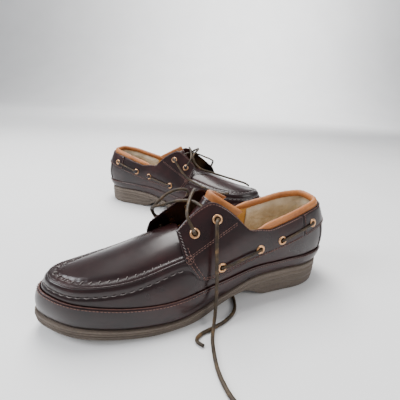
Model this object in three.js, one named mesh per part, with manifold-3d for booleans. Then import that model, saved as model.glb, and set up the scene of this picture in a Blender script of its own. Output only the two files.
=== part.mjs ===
// A pair of low-cut, lace-up moccasin deck shoes, in millimetres, +Z up.
//
// Each shoe is drawn once in its own frame: x runs from the back of the heel to the toe,
// y points to the outer side of the foot, and z up from the floor. The left shoe uses that
// frame as it is and the right shoe is its mirror image; only their loose lace ends differ.
// The skin of the upper is one surface, skin(u, v): u runs once round the shoe (heel 0,
// outer side, toe 0.5, inner side, back to 1) and v runs from the sole (0) to the top (1).
// Every leather piece is a patch of that surface, moved inwards by the depth of its layer.

import * as THREE from 'three';
import { mergeVertices } from 'three/addons/utils/BufferGeometryUtils.js';
import Module from 'manifold-3d';

const wasm = await Module();
wasm.setup();

// Overall sizes. The control points below are drawn for the reference length and width.
const SHOE_LENGTH = 300;
const BALL_WIDTH = 94;
const REFERENCE_LENGTH = 300;
const REFERENCE_WIDTH = 94;

// Clearance between pieces that touch on the real shoe.
const GAP = 0.3;

// Depths of the leather layers below the outer skin, and their thicknesses.
const LEATHER = 1.6;
const VAMP_DEPTH = LEATHER + 0.9;
const LINING_DEPTH = 6.4;
const LINING_THICKNESS = 1.2;
const FOOTBED_DEPTH = LINING_DEPTH + LINING_THICKNESS + 1;

// Heights of the bands of the upper and of the sole.
const MUDGUARD_HEIGHT = 12.5;
const MUDGUARD_TOE_RISE = 8.5;
const BAND_HEIGHT_AT_HEEL = 74;
const BAND_SLOPE = 0.2235;
const VAMP_TUCK = 4.5;
const COLLAR_HEIGHT = 9;
const COLLAR_THICKNESS = 6.4;
const MIDSOLE_HEIGHT = 9.5;
const MIDSOLE_TAPER = 5.3;
const SOLE_LEDGE = 1;
const OUTSOLE_LEDGE = 1.8;
const ARCH_RISE = 12.5;
const TOE_SPRING = 11;
const FOOTBED_THICKNESS = 4;

// Apron and tongue.
const APRON_CROWN = 15.5;
const APRON_INSET = LEATHER;
const TONGUE_THICKNESS = 3.6;

// Eyelets and lace.
const LACE_DIAMETER = 3.2;
const EYELET_HOLE_RADIUS = 2.5;
const EYELET_BARREL_RADIUS = 3.2;
const EYELET_RIM_RADIUS = 5;
const EYELET_CLEARANCE = 0.4;
const EYELET_RIM_HEIGHT = 0.9;

// Where the two shoes stand: the back of each heel on the floor, and the toe's direction.
const LEFT_HEEL = [118, 299];
const LEFT_YAW = 202.5;
const RIGHT_HEEL = [-205, 512];
const RIGHT_YAW = -16.9;

// Control points of three closed rings: along the sole, half way up and along the top.
// Each lists the heel, the outer side, the toe and the inner side, all at the same stations.
const SOLE_RING = [
  [0, -1, 28.6],
  [9, 24, 28.8], [32, 34.5, 29.5], [62, 34.5, 29.2], [98, 34.2, 26], [135, 39.5, 17.5],
  [178, 48.3, 9.8], [222, 47.3, 12.2], [263, 37.5, 17.5], [289, 19.5, 20.5],
  [298.5, 3, 21.5],
  [290, -13, 20.5], [264, -29.5, 17.5], [222, -42, 12.2], [178, -45.5, 9.8],
  [135, -38, 17.5], [98, -33.5, 26], [62, -34, 29.2], [32, -34, 29.5], [9, -25, 28.8],
];
const MIDDLE_RING = [
  [-11.5, -1, 57],
  [0, 23.5, 59], [30, 33.5, 61], [62, 37, 58], [98, 37.8, 51], [135, 41.5, 43],
  [180, 47, 35.5], [222, 46.5, 33.5], [263, 36.2, 36], [287, 19, 38.5],
  [296, 3, 40],
  [288.5, -12, 38.5], [263, -28, 36], [222, -40.5, 33.5], [180, -44, 35.5],
  [135, -39.5, 43], [98, -36, 51], [62, -35.5, 58], [30, -33, 61], [0, -24, 59],
];
const TOP_RING = [
  [5, -2, 101],
  [10.5, 16, 100.5], [34, 25.5, 97], [62, 29.5, 90.5], [98, 33.5, 83], [135, 36.5, 73],
  [180, 38, 62.7], [222, 40.3, 54.2], [259, 33.5, 52.2], [280.5, 19, 53.4],
  [287.5, 4.5, 54.8],
  [282, -8.5, 54.2], [262, -19.5, 52.6], [226, -30, 54.4], [184, -36, 62.7],
  [138, -34, 73], [98, -31, 83], [62, -29, 90.5], [34, -26.5, 97], [10, -18.5, 100.5],
];
const STATIONS = TOP_RING.length;

// The flap's free edge from the collar over the instep to the box corner, with the station
// at which each point stands, for the outer and the inner quarter.
const OUTER_FLAP_EDGE = [
  [105, 33.5, 80], [112, 32, 88.5], [121, 28.5, 98], [131, 24, 106], [143.5, 19, 111.5],
  [157, 17.5, 104], [168.5, 18, 95], [178, 19.5, 85.5],
];
const INNER_FLAP_EDGE = [
  [106, -31, 84], [116, -30, 94], [129, -26.5, 104.5], [144, -21, 110], [164, -18, 102],
  [181, -17, 92], [197, -20, 79],
];

const vector = ([x, y, z]) => new THREE.Vector3(
  x * SHOE_LENGTH / REFERENCE_LENGTH,
  y * BALL_WIDTH / REFERENCE_WIDTH,
  z,
);
const ring = (points) => new THREE.CatmullRomCurve3(points.map(vector), true, 'catmullrom', 0.5);
const edge = (points) => new THREE.CatmullRomCurve3(points.map(vector), false, 'catmullrom', 0.5);

const soleRing = ring(SOLE_RING);
const middleRing = ring(MIDDLE_RING);
const topRing = ring(TOP_RING);

const clamp = THREE.MathUtils.clamp;
const lerp = THREE.MathUtils.lerp;
const ease = (value, low, high) => THREE.MathUtils.smoothstep(value, low, high);
const along = (x) => x * SHOE_LENGTH / REFERENCE_LENGTH;
const turn = (u) => ((u % 1) + 1) % 1;

// The outer skin: a curve through the three rings at u.
function skin(u, v) {
  const low = soleRing.getPoint(turn(u));
  const middle = middleRing.getPoint(turn(u));
  const high = topRing.getPoint(turn(u));
  return low.multiplyScalar((1 - v) * (1 - 2 * v))
    .addScaledVector(middle, 4 * v * (1 - v))
    .addScaledVector(high, v * (2 * v - 1));
}

function skinNormal(u, v) {
  const step = 0.004;
  const across = skin(u + step, v).sub(skin(u - step, v));
  const up = skin(u, v + step).sub(skin(u, v - step));
  return up.cross(across).normalize();
}

// A point on the skin moved inwards by depth, and never below the top of the sole.
function layer(u, v, depth) {
  const point = skin(u, v).addScaledVector(skinNormal(u, v), -depth);
  point.z = Math.max(point.z, soleRing.getPoint(turn(u)).z);
  return point;
}

// The v at which the skin reaches a height, which may depend on how far along it is.
function heightOnSkin(u, heightAt) {
  let low = 0;
  let high = 1;
  for (let pass = 0; pass < 24; pass += 1) {
    const middle = (low + high) / 2;
    const point = skin(u, middle);
    if (point.z < heightAt(point.x)) low = middle;
    else high = middle;
  }
  return (low + high) / 2;
}

const bandHeight = (x) => BAND_HEIGHT_AT_HEEL - BAND_SLOPE * x * REFERENCE_LENGTH / SHOE_LENGTH;
const bandEdge = (u) => heightOnSkin(u, bandHeight);
const collarEdge = (u) => heightOnSkin(u, () => topRing.getPoint(turn(u)).z - COLLAR_HEIGHT);
const mudguardEdge = (u) => {
  const foot = soleRing.getPoint(turn(u));
  const height = MUDGUARD_HEIGHT + MUDGUARD_TOE_RISE * ease(foot.x, along(60), along(175));
  return heightOnSkin(u, () => foot.z + height);
};

// Where the rings are sampled: twice between stations.
const SAMPLE_COUNT = 2 * STATIONS;
const SAMPLES = Array.from({ length: SAMPLE_COUNT }, (_, index) => index / SAMPLE_COUNT);

// Geometry helpers. A piece is a list of points and a list of triangles.
function pieceGeometry(points, triangles) {
  const geometry = new THREE.BufferGeometry();
  const numbers = points.flatMap((point) => [point.x, point.y, point.z]);
  geometry.setAttribute('position', new THREE.Float32BufferAttribute(numbers, 3));
  geometry.setIndex(triangles);
  return geometry;
}

// A closed shell between two grids of points, outer and inner, with rows of equal length.
// A looped shell's rows close on themselves, and an open one has walls at both ends.
function shell(outer, inner, looped) {
  const rows = outer.length;
  const columns = outer[0].length;
  const points = [...outer.flat(), ...inner.flat()];
  const at = (side, row, column) => side * rows * columns + row * columns + (column % columns);
  const triangles = [];
  const quad = (a, b, c, d) => triangles.push(a, b, c, a, c, d);
  const spans = looped ? columns : columns - 1;
  for (let column = 0; column < spans; column += 1) {
    for (let row = 0; row < rows - 1; row += 1) {
      quad(at(0, row, column), at(0, row + 1, column),
        at(0, row + 1, column + 1), at(0, row, column + 1));
      quad(at(1, row, column), at(1, row, column + 1),
        at(1, row + 1, column + 1), at(1, row + 1, column));
    }
    quad(at(0, 0, column), at(0, 0, column + 1), at(1, 0, column + 1), at(1, 0, column));
    quad(at(0, rows - 1, column), at(1, rows - 1, column),
      at(1, rows - 1, column + 1), at(0, rows - 1, column + 1));
  }
  if (!looped) {
    for (let row = 0; row < rows - 1; row += 1) {
      quad(at(0, row, 0), at(1, row, 0), at(1, row + 1, 0), at(0, row + 1, 0));
      quad(at(0, row, columns - 1), at(0, row + 1, columns - 1),
        at(1, row + 1, columns - 1), at(1, row, columns - 1));
    }
  }
  return pieceGeometry(points, triangles);
}

// A solid through a stack of rings, lowest first. Its two ends are closed by a ladder of
// strips that join each sample of the outer side to its partner on the inner side.
function ringStack(rings) {
  const count = rings[0].length;
  const points = rings.flat();
  const triangles = [];
  const at = (level, sample) => level * count + ((sample + count) % count);
  for (let level = 0; level < rings.length - 1; level += 1) {
    for (let sample = 0; sample < count; sample += 1) {
      triangles.push(at(level, sample), at(level + 1, sample), at(level + 1, sample + 1));
      triangles.push(at(level, sample), at(level + 1, sample + 1), at(level, sample + 1));
    }
  }
  const half = count / 2;
  const last = rings.length - 1;
  for (let sample = 0; sample < half; sample += 1) {
    const pairs = [sample, sample + 1, -sample - 1, -sample];
    const [a, b, c, d] = pairs.map((index) => at(0, index));
    const [e, f, g, h] = pairs.map((index) => at(last, index));
    if (sample < half - 1) {
      triangles.push(a, b, c);
      triangles.push(e, g, f);
    }
    if (sample > 0) {
      triangles.push(a, c, d);
      triangles.push(e, h, g);
    }
  }
  return pieceGeometry(points, triangles);
}

// The sole's outline, moved outwards in plan, at a height given by how far along it is.
function soleOutline(outset, heightAt) {
  return SAMPLES.map((u) => {
    const point = soleRing.getPoint(u);
    const tangent = soleRing.getTangent(u);
    const outwards = new THREE.Vector3(-tangent.y, tangent.x, 0).normalize();
    point.addScaledVector(outwards, outset);
    point.z = heightAt(point.x, soleRing.getPoint(u).z);
    return point;
  });
}

// The normals of a grid of points, pointing to its outer side, and the grid moved inwards.
function sunkGrid(grid, depth) {
  const last = grid.length - 1;
  return grid.map((row, r) => row.map((point, c) => {
    const up = grid[Math.min(r + 1, last)][c].clone().sub(grid[Math.max(r - 1, 0)][c]);
    const across = row[Math.min(c + 1, row.length - 1)].clone().sub(row[Math.max(c - 1, 0)]);
    return point.clone().addScaledVector(up.cross(across).normalize(), -depth);
  }));
}

const fractions = (count) => Array.from({ length: count + 1 }, (_, index) => index / count);

// A patch of the skin between two edges, as a shell: it spans the stations given, or closes
// round the whole shoe when there are none.
function skinPatch(stations, rows, lowEdge, highEdge, depth, thickness) {
  const samples = stations ? stations.map((station) => station / STATIONS) : SAMPLES;
  const grid = (sunk) => fractions(rows).map((fraction) => samples.map(
    (u) => layer(u, lerp(lowEdge(u), highEdge(u), fraction), sunk),
  ));
  return shell(grid(depth), grid(depth + thickness), !stations);
}

const stationsBetween = (first, last, count) => fractions(count).map(
  (fraction) => lerp(first, last, fraction),
);
const stationFromHeel = (u) => Math.min(turn(u), 1 - turn(u)) * STATIONS;

// --- Sole -----------------------------------------------------------------------------

function midsoleDepth(x) {
  return MIDSOLE_HEIGHT - MIDSOLE_TAPER * ease(x, along(95), along(150));
}

// The underside: flat at the heel and the ball, raised at the arch and at the toe.
function treadHeight(x) {
  const rise = ease(x, along(80), along(110)) * (1 - ease(x, along(112), along(168)));
  const spring = Math.max(0, (x - along(205)) / along(93)) ** 1.2;
  return ARCH_RISE * rise + TOE_SPRING * spring;
}

function buildOutsole() {
  const top = (x, z) => z - midsoleDepth(x) - GAP;
  return ringStack([
    soleOutline(OUTSOLE_LEDGE - 1.5, (x) => treadHeight(x)),
    soleOutline(OUTSOLE_LEDGE, (x, z) => lerp(treadHeight(x), top(x, z), 0.3)),
    soleOutline(SOLE_LEDGE, top),
  ]);
}

function buildMidsole() {
  return ringStack([
    soleOutline(SOLE_LEDGE, (x, z) => z - midsoleDepth(x)),
    soleOutline(OUTSOLE_LEDGE, (x, z) => z - midsoleDepth(x) * 0.55),
    soleOutline(SOLE_LEDGE, (x, z) => z - GAP),
  ]);
}

function buildFootbed() {
  return ringStack([
    soleOutline(-FOOTBED_DEPTH, (x, z) => z + GAP),
    soleOutline(-FOOTBED_DEPTH, (x, z) => z + GAP + FOOTBED_THICKNESS),
  ]);
}

// --- Wall of the upper ------------------------------------------------------------------

const FLAP_START = 4.05;
const OUTER = { side: 1, flapEdge: edge(OUTER_FLAP_EDGE), frontLow: 5.5, frontHigh: 5.85 };
const INNER = { side: -1, flapEdge: edge(INNER_FLAP_EDGE), frontLow: 5.9, frontHigh: 6.35 };
const BAND_SEAM = 2.25;
const SEAM_GAP = 0.03;

// The vamp's top follows the seam ridge in front, and tucks under the quarters behind.
function vampEdge(u) {
  const ahead = ease(stationFromHeel(u), 5.2, 5.9);
  const ridge = topRing.getPoint(turn(u)).z;
  return heightOnSkin(u, (x) => lerp(bandHeight(x) + VAMP_TUCK, ridge, ahead));
}

const liningEdge = (u) => lerp(collarEdge(u), 0.97, ease(stationFromHeel(u), 3.8, 4.6));
const soleEdge = () => 0;

const buildVamp = () => skinPatch(null, 3, soleEdge, vampEdge, VAMP_DEPTH, LEATHER);
const buildMudguard = () => skinPatch(null, 2, soleEdge, mudguardEdge, 0, LEATHER);
const buildLining = () => skinPatch(
  null, 2, soleEdge, liningEdge, LINING_DEPTH, LINING_THICKNESS,
);

function buildHeelBand() {
  const stations = stationsBetween(-BAND_SEAM + SEAM_GAP, BAND_SEAM - SEAM_GAP, 12);
  return skinPatch(stations, 2, bandEdge, collarEdge, 0, LEATHER);
}

// A point of a quarter: column runs from the heel seam (0) to the front (1), and height from
// the lower edge (0) up the wall and over the flap (1).
function quarterPoint(quarter, column, height) {
  const lowStation = lerp(BAND_SEAM, quarter.frontLow, column);
  const highStation = lerp(BAND_SEAM, quarter.frontHigh, column);
  const lowU = quarter.side * lowStation / STATIONS;
  const highU = quarter.side * highStation / STATIONS;
  const onFlap = highStation > FLAP_START;
  const lowV = bandEdge(lowU);
  const highV = onFlap ? 1 : collarEdge(highU);
  const low = skin(lowU, lowV);
  const high = skin(highU, highV);
  const reach = (highStation - FLAP_START) / (quarter.frontHigh - FLAP_START);
  const tip = onFlap ? quarter.flapEdge.getPoint(clamp(reach, 0, 1)) : high;
  const wallLength = low.distanceTo(high);
  const length = height * (wallLength + high.distanceTo(tip));
  if (length <= wallLength) {
    const part = length / wallLength;
    return skin(lerp(lowU, highU, part), lerp(lowV, highV, part));
  }
  return high.lerp(tip, (length - wallLength) / high.distanceTo(tip));
}

function buildQuarter(quarter) {
  const columns = fractions(14);
  if (quarter.side < 0) columns.reverse();
  const grid = fractions(5).map((height) => columns.map(
    (column) => quarterPoint(quarter, column, height),
  ));
  return shell(grid, sunkGrid(grid, LEATHER), false);
}

// The padded roll that binds the top line, swept round the heel from flap to flap.
function buildCollar() {
  const sides = 6;
  const stations = stationsBetween(-3.95, 3.95, 24);
  const sections = stations.map((station) => {
    const u = station / STATIONS;
    const top = topRing.getPoint(turn(u));
    const tangent = topRing.getTangent(turn(u));
    const inwards = new THREE.Vector3(tangent.y, -tangent.x, 0).normalize();
    return Array.from({ length: sides }, (_, index) => {
      const angle = (index + 0.5) * 2 * Math.PI / sides;
      const point = top.clone();
      point.addScaledVector(inwards, COLLAR_THICKNESS / 2 * (1 + Math.cos(angle)));
      point.z += COLLAR_HEIGHT * 0.46 * (Math.sin(angle) - 1);
      return point;
    });
  });
  return sweptSolid(sections);
}

// A solid through a row of closed sections, with flat ends.
function sweptSolid(sections) {
  const sides = sections[0].length;
  const last = sections.length - 1;
  const at = (section, side) => section * sides + (side % sides);
  const triangles = [];
  for (let section = 0; section < last; section += 1) {
    for (let side = 0; side < sides; side += 1) {
      triangles.push(at(section, side), at(section + 1, side + 1), at(section, side + 1));
      triangles.push(at(section, side), at(section + 1, side), at(section + 1, side + 1));
    }
  }
  for (let side = 1; side < sides - 1; side += 1) {
    triangles.push(at(0, 0), at(0, side), at(0, side + 1));
    triangles.push(at(last, 0), at(last, side + 1), at(last, side));
  }
  return pieceGeometry(sections.flat(), triangles);
}

// --- Apron and tongue -------------------------------------------------------------------

// The apron spans the ridge from the toe to the throat, domed across the foot.
function buildApron() {
  const reaches = [0.7, 1.1, 1.6, 2.1, 2.6, 3.1, 3.6, 4];
  const grid = fractions(8).map((across) => reaches.map((reach) => {
    const ridge = (side) => {
      const u = 0.5 + side * reach / STATIONS;
      const tangent = topRing.getTangent(turn(u));
      const inwards = new THREE.Vector3(tangent.y, -tangent.x, 0).normalize();
      return layer(u, 1, VAMP_DEPTH).addScaledVector(inwards, APRON_INSET);
    };
    const point = ridge(1).lerp(ridge(-1), across);
    const crown = APRON_CROWN * Math.sin(clamp((along(290) - point.x) / along(73), 0, Math.PI / 2));
    point.z += crown * 4 * across * (1 - across);
    return point;
  }));
  return shell(grid, sunkGrid(grid, LEATHER), false);
}

// The tongue's middle line from under the apron to its top edge.
const TONGUE_LINE = [
  [184, 0, 71.5], [174, 0, 75], [165, 0, 83], [156, 0, 94], [147, 0, 106], [140.5, 0, 117],
];
const TONGUE_HALF_WIDTH = [21, 22.5];
const TONGUE_SWEEP_BACK = [5, 30];
const TONGUE_DROP = [8, 18];

function buildTongue() {
  const line = edge(TONGUE_LINE);
  const grid = fractions(8).map((across) => fractions(9).map((reach) => {
    const side = 2 * across - 1;
    const point = line.getPoint(reach);
    const between = ([first, last]) => lerp(first, last, reach);
    point.x -= between(TONGUE_SWEEP_BACK) * side * side;
    point.y += between(TONGUE_HALF_WIDTH) * side * BALL_WIDTH / REFERENCE_WIDTH;
    point.z -= between(TONGUE_DROP) * side * side;
    return point;
  }));
  return shell(grid, sunkGrid(grid, TONGUE_THICKNESS), false);
}

// --- Eyelets ----------------------------------------------------------------------------

// Side eyelets by how far along and how high they sit, from the heel forwards.
const SIDE_EYELETS = [[22.5, 78], [68, 67], [94.5, 61.5], [138, 52]];

// Flap eyelets by column and height on their quarter: the upper one, then the lower one.
const FLAP_EYELETS = {
  outer: [[0.775, 0.765], [0.905, 0.755]],
  inner: [[0.77, 0.76], [0.915, 0.585]],
};

function stationAlong(x) {
  let low = 0.2;
  let high = 8;
  for (let pass = 0; pass < 24; pass += 1) {
    const middle = (low + high) / 2;
    if (skin(middle / STATIONS, 0.6).x < x) low = middle;
    else high = middle;
  }
  return low;
}

function sideEyeletSeat(quarter, [x, z]) {
  const u = quarter.side * stationAlong(along(x)) / STATIONS;
  const v = heightOnSkin(u, () => z);
  return { point: skin(u, v), normal: skinNormal(u, v), u, v };
}

function flapEyeletSeat(quarter, [column, height]) {
  const step = 0.02;
  const up = quarterPoint(quarter, column, height + step)
    .sub(quarterPoint(quarter, column, height - step));
  const across = quarterPoint(quarter, column + step, height)
    .sub(quarterPoint(quarter, column - step, height));
  const normal = up.cross(across).normalize().multiplyScalar(quarter.side);
  return { point: quarterPoint(quarter, column, height), normal };
}

function placeOnSeat(geometry, seat) {
  const turnToSeat = new THREE.Quaternion();
  turnToSeat.setFromUnitVectors(new THREE.Vector3(0, 1, 0), seat.normal);
  geometry.applyQuaternion(turnToSeat);
  return geometry.translate(seat.point.x, seat.point.y, seat.point.z);
}

function buildEyelet(seat) {
  const foot = -LEATHER - EYELET_CLEARANCE;
  const top = EYELET_CLEARANCE + EYELET_RIM_HEIGHT;
  const profile = [
    [EYELET_HOLE_RADIUS, foot],
    [EYELET_BARREL_RADIUS, foot],
    [EYELET_BARREL_RADIUS, EYELET_CLEARANCE],
    [EYELET_RIM_RADIUS, EYELET_CLEARANCE],
    [EYELET_RIM_RADIUS - 0.5, top],
    [EYELET_HOLE_RADIUS + 0.8, top],
    [EYELET_HOLE_RADIUS, foot],
  ].map(([radius, height]) => new THREE.Vector2(radius, height));
  return placeOnSeat(new THREE.LatheGeometry(profile, 8), seat);
}

// --- Booleans ---------------------------------------------------------------------------

function bare(geometry) {
  const copy = geometry.clone();
  copy.deleteAttribute('normal');
  copy.deleteAttribute('uv');
  return mergeVertices(copy, 1e-4);
}

function toSolid(geometry) {
  const clean = bare(geometry);
  return new wasm.Manifold(new wasm.Mesh({
    numProp: 3,
    vertProperties: new Float32Array(clean.attributes.position.array),
    triVerts: new Uint32Array(clean.index.array),
  }));
}

function toGeometry(solid) {
  const mesh = solid.getMesh();
  const geometry = new THREE.BufferGeometry();
  geometry.setAttribute('position', new THREE.BufferAttribute(mesh.vertProperties, 3));
  geometry.setIndex(Array.from(mesh.triVerts));
  return geometry;
}

// Cuts a round hole through a piece at each seat, a little wider than the eyelet's barrel.
function punch(geometry, seats) {
  const radius = EYELET_BARREL_RADIUS + EYELET_CLEARANCE;
  const cut = seats.reduce((solid, seat) => {
    const drill = placeOnSeat(new THREE.CylinderGeometry(radius, radius, 12, 8), seat);
    return solid.subtract(toSolid(drill));
  }, toSolid(geometry));
  return toGeometry(cut);
}

// --- Lace -------------------------------------------------------------------------------

function laceTube(points, stepLength) {
  const path = new THREE.CatmullRomCurve3(points, false, 'centripetal');
  const section = new THREE.Shape();
  section.absarc(0, 0, LACE_DIAMETER / 2, 0, 2 * Math.PI);
  return new THREE.ExtrudeGeometry(section, {
    curveSegments: 4,
    steps: Math.ceil(path.getLength() / stepLength),
    extrudePath: path,
  });
}

// The lace lying along the outside of the band, from one eyelet's mouth into the next.
function buildSideLace(first, second) {
  const rimTop = EYELET_CLEARANCE + EYELET_RIM_HEIGHT;
  const over = rimTop + LACE_DIAMETER / 2 + GAP;
  const lead = (from, to) => {
    const ahead = to.point.clone().sub(from.point).normalize();
    const lift = (advance, height) => from.point.clone()
      .addScaledVector(ahead, advance).addScaledVector(from.normal, height);
    return [lift(0, 0), lift(0.3, rimTop), lift(2.2, over), lift(6, over + 0.6)];
  };
  const between = [0.3, 0.5, 0.7].map((part) => {
    const u = lerp(first.u, second.u, part);
    const v = lerp(first.v, second.v, part);
    return layer(u, v, -over + 0.4);
  });
  const points = [...lead(first, second), ...between, ...lead(second, first).reverse()];
  return laceTube(points, LACE_DIAMETER);
}

// A loose end: out of its eyelet's mouth, then through the points chosen for it.
function buildLaceEnd(seat, route) {
  const start = EYELET_CLEARANCE + EYELET_RIM_HEIGHT + GAP;
  const mouth = [start, start + 3].map(
    (height) => seat.point.clone().addScaledVector(seat.normal, height),
  );
  const points = route.map(vector);
  return laceTube([...mouth, ...points], LACE_DIAMETER * 2.6);
}

// The left shoe's outer end drops to the floor and runs away from the shoe. Its inner end
// loops past the inner flap, drops behind the shoe and comes through under the arch.
const LEFT_OUTER_END = [
  [144, 36, 98], [146, 42.5, 88], [147, 46.5, 74], [147, 49.5, 58], [147, 51.5, 42], [147.5, 53, 26],
  [149, 56, 11], [153, 63, 3.4], [157, 72, 2.2], [160, 84, 2], [162, 96, 2], [162, 108, 2],
  [160, 120, 2], [155, 132, 2], [147, 142, 2], [136, 148, 2], [124, 148, 2],
];
const LEFT_INNER_END = [
  [152, -34, 104], [163, -36, 106], [175, -37, 101], [185, -38, 92], [190, -42, 82],
  [186, -49, 72], [174, -54, 62], [158, -55, 50], [142, -53, 36], [126, -52, 22], [115, -50, 9],
  [111, -43, 3], [110, -30, 2.2], [111, -14, 2.2], [113, 2, 2.2], [115, 18, 2.2], [118, 34, 2.2],
  [124, 47, 2.2], [136, 55, 2], [150, 59, 2], [164, 62, 2], [170, 67, 2], [166, 74, 2],
];

// The right shoe's ends both loop once above the throat and lie forwards over the toe.
const RIGHT_OUTER_END = [
  [146, 36, 97], [154, 38.5, 88], [163, 41.5, 79], [175, 43, 70.5], [190, 44, 64.5],
  [206, 45, 60], [222, 45, 57], [236, 43.5, 55], [247, 43, 57],
];
const RIGHT_INNER_END = [
  [150, -32, 101], [160, -26, 108], [168, -16, 112], [170, -4, 110], [168, 8, 104],
  [172, 14, 95], [180, 14, 86], [190, 10, 80], [201, 5, 76.5], [214, 1, 72.8], [228, -4, 68.6],
  [241, -10, 64.4], [252, -17, 60], [260, -24, 56], [266, -31, 50],
];

// --- Materials ----------------------------------------------------------------------------

const material = (colour, roughness, metalness = 0) => new THREE.MeshStandardMaterial({
  color: colour, roughness, metalness,
});
const MATERIALS = {
  upper: material(0x2b1714, 0.28),
  binding: material(0x9a5a2a, 0.5),
  lining: material(0xa87636, 0.7),
  footbed: material(0xb98a50, 0.7),
  outsole: material(0x6b5a4e, 0.85),
  midsole: material(0x75655a, 0.8),
  eyelet: material(0xc89a5c, 0.3, 1),
  lace: material(0x4a3a26, 0.75),
};

// --- Assembly -----------------------------------------------------------------------------

// Every piece of a shoe drawn in the left shoe's frame: name, material and geometry.
function shoePieces(laceRoutes) {
  const pieces = [];
  const add = (name, slot, geometry) => pieces.push({ name, slot, geometry });
  add('outsole', 'outsole', buildOutsole());
  add('midsole', 'midsole', buildMidsole());
  add('footbed', 'footbed', buildFootbed());
  add('lining', 'lining', buildLining());
  add('vamp', 'upper', buildVamp());
  add('mudguard', 'upper', buildMudguard());
  add('apron', 'upper', buildApron());
  add('tongue', 'upper', buildTongue());
  add('collar', 'binding', buildCollar());

  const heelSeats = [];
  for (const [side, quarter] of [['outer', OUTER], ['inner', INNER]]) {
    const sideSeats = SIDE_EYELETS.map((place) => sideEyeletSeat(quarter, place));
    const flapSeats = FLAP_EYELETS[side].map((place) => flapEyeletSeat(quarter, place));
    const [heelSeat, ...quarterSeats] = sideSeats;
    heelSeats.push(heelSeat);
    add(`${side}_quarter`, 'upper', punch(buildQuarter(quarter), [...quarterSeats, ...flapSeats]));
    sideSeats.forEach((seat, index) => {
      add(`${side}_side_eyelet_${index + 1}`, 'eyelet', buildEyelet(seat));
    });
    flapSeats.forEach((seat, index) => {
      add(`${side}_flap_eyelet_${index + 1}`, 'eyelet', buildEyelet(seat));
    });
    add(`${side}_side_lace_rear`, 'lace', buildSideLace(sideSeats[0], sideSeats[1]));
    add(`${side}_side_lace_front`, 'lace', buildSideLace(sideSeats[2], sideSeats[3]));
    add(`${side}_lace_end`, 'lace', buildLaceEnd(flapSeats[0], laceRoutes[side]));
  }
  add('heel_band', 'upper', punch(buildHeelBand(), heelSeats));
  return pieces;
}

// Turns a geometry into its mirror image in y, with its faces still pointing out.
function mirrored(geometry) {
  const copy = bare(geometry).scale(1, -1, 1);
  const order = copy.index.array;
  for (let corner = 0; corner < order.length; corner += 3) {
    [order[corner + 1], order[corner + 2]] = [order[corner + 2], order[corner + 1]];
  }
  return copy;
}

function buildShoe(prefix, laceRoutes, isMirrored, [x, y], yaw) {
  const shoe = new THREE.Group();
  for (const { name, slot, geometry } of shoePieces(laceRoutes)) {
    const shape = isMirrored ? mirrored(geometry) : bare(geometry);
    const mesh = new THREE.Mesh(shape, MATERIALS[slot]);
    mesh.name = `${prefix}_${name}`;
    shoe.add(mesh);
  }
  shoe.position.set(x, y, 0);
  shoe.rotation.z = THREE.MathUtils.degToRad(yaw);
  return shoe;
}

const pair = new THREE.Group();
pair.add(buildShoe('left', { outer: LEFT_OUTER_END, inner: LEFT_INNER_END },
  false, LEFT_HEEL, LEFT_YAW));
pair.add(buildShoe('right', { outer: RIGHT_OUTER_END, inner: RIGHT_INNER_END },
  true, RIGHT_HEEL, RIGHT_YAW));

// The origin is under the middle of the two shoes, measured without the loose lace ends.
const footprint = new THREE.Box3();
pair.updateMatrixWorld(true);
pair.traverse((node) => {
  if (node.isMesh && !node.name.endsWith('lace_end')) footprint.expandByObject(node, true);
});
const centre = footprint.getCenter(new THREE.Vector3());
pair.position.set(-centre.x, -centre.y, -footprint.min.z);

export default pair;
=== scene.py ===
"""A pair of moccasin deck shoes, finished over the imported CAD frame.

Shapes are worked out in millimetres in one shoe's own frame (x from the heel to the toe,
y to the outer side of the foot, z up) and moved into the part's frame, in metres, at the end.
The right shoe is the mirror image of the left one; only the loose lace ends differ.
"""

import math

import bpy
import numpy as np
from mathutils import Matrix, Vector


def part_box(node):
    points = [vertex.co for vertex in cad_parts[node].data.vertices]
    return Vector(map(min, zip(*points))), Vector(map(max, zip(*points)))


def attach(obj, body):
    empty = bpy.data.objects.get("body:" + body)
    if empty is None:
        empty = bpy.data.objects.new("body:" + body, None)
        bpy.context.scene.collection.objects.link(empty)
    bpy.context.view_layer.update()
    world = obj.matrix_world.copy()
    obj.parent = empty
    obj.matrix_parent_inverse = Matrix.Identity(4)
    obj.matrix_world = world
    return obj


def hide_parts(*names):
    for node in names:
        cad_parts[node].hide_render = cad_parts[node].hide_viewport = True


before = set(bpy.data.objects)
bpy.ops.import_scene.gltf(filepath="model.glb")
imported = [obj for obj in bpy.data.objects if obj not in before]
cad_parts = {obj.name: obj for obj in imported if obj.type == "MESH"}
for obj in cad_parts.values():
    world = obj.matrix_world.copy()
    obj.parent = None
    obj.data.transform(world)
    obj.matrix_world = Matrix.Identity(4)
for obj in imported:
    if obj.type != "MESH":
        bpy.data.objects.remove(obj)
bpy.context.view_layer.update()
MM = 0.001

# --- The shoe's driving sizes, in millimetres ---
# Most are the CAD model's own. UPPER_LEATHER, VAMP_DEPTH, LINING_TOP_DROP and
# MUDGUARD_THICKNESS only set the look.

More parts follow.
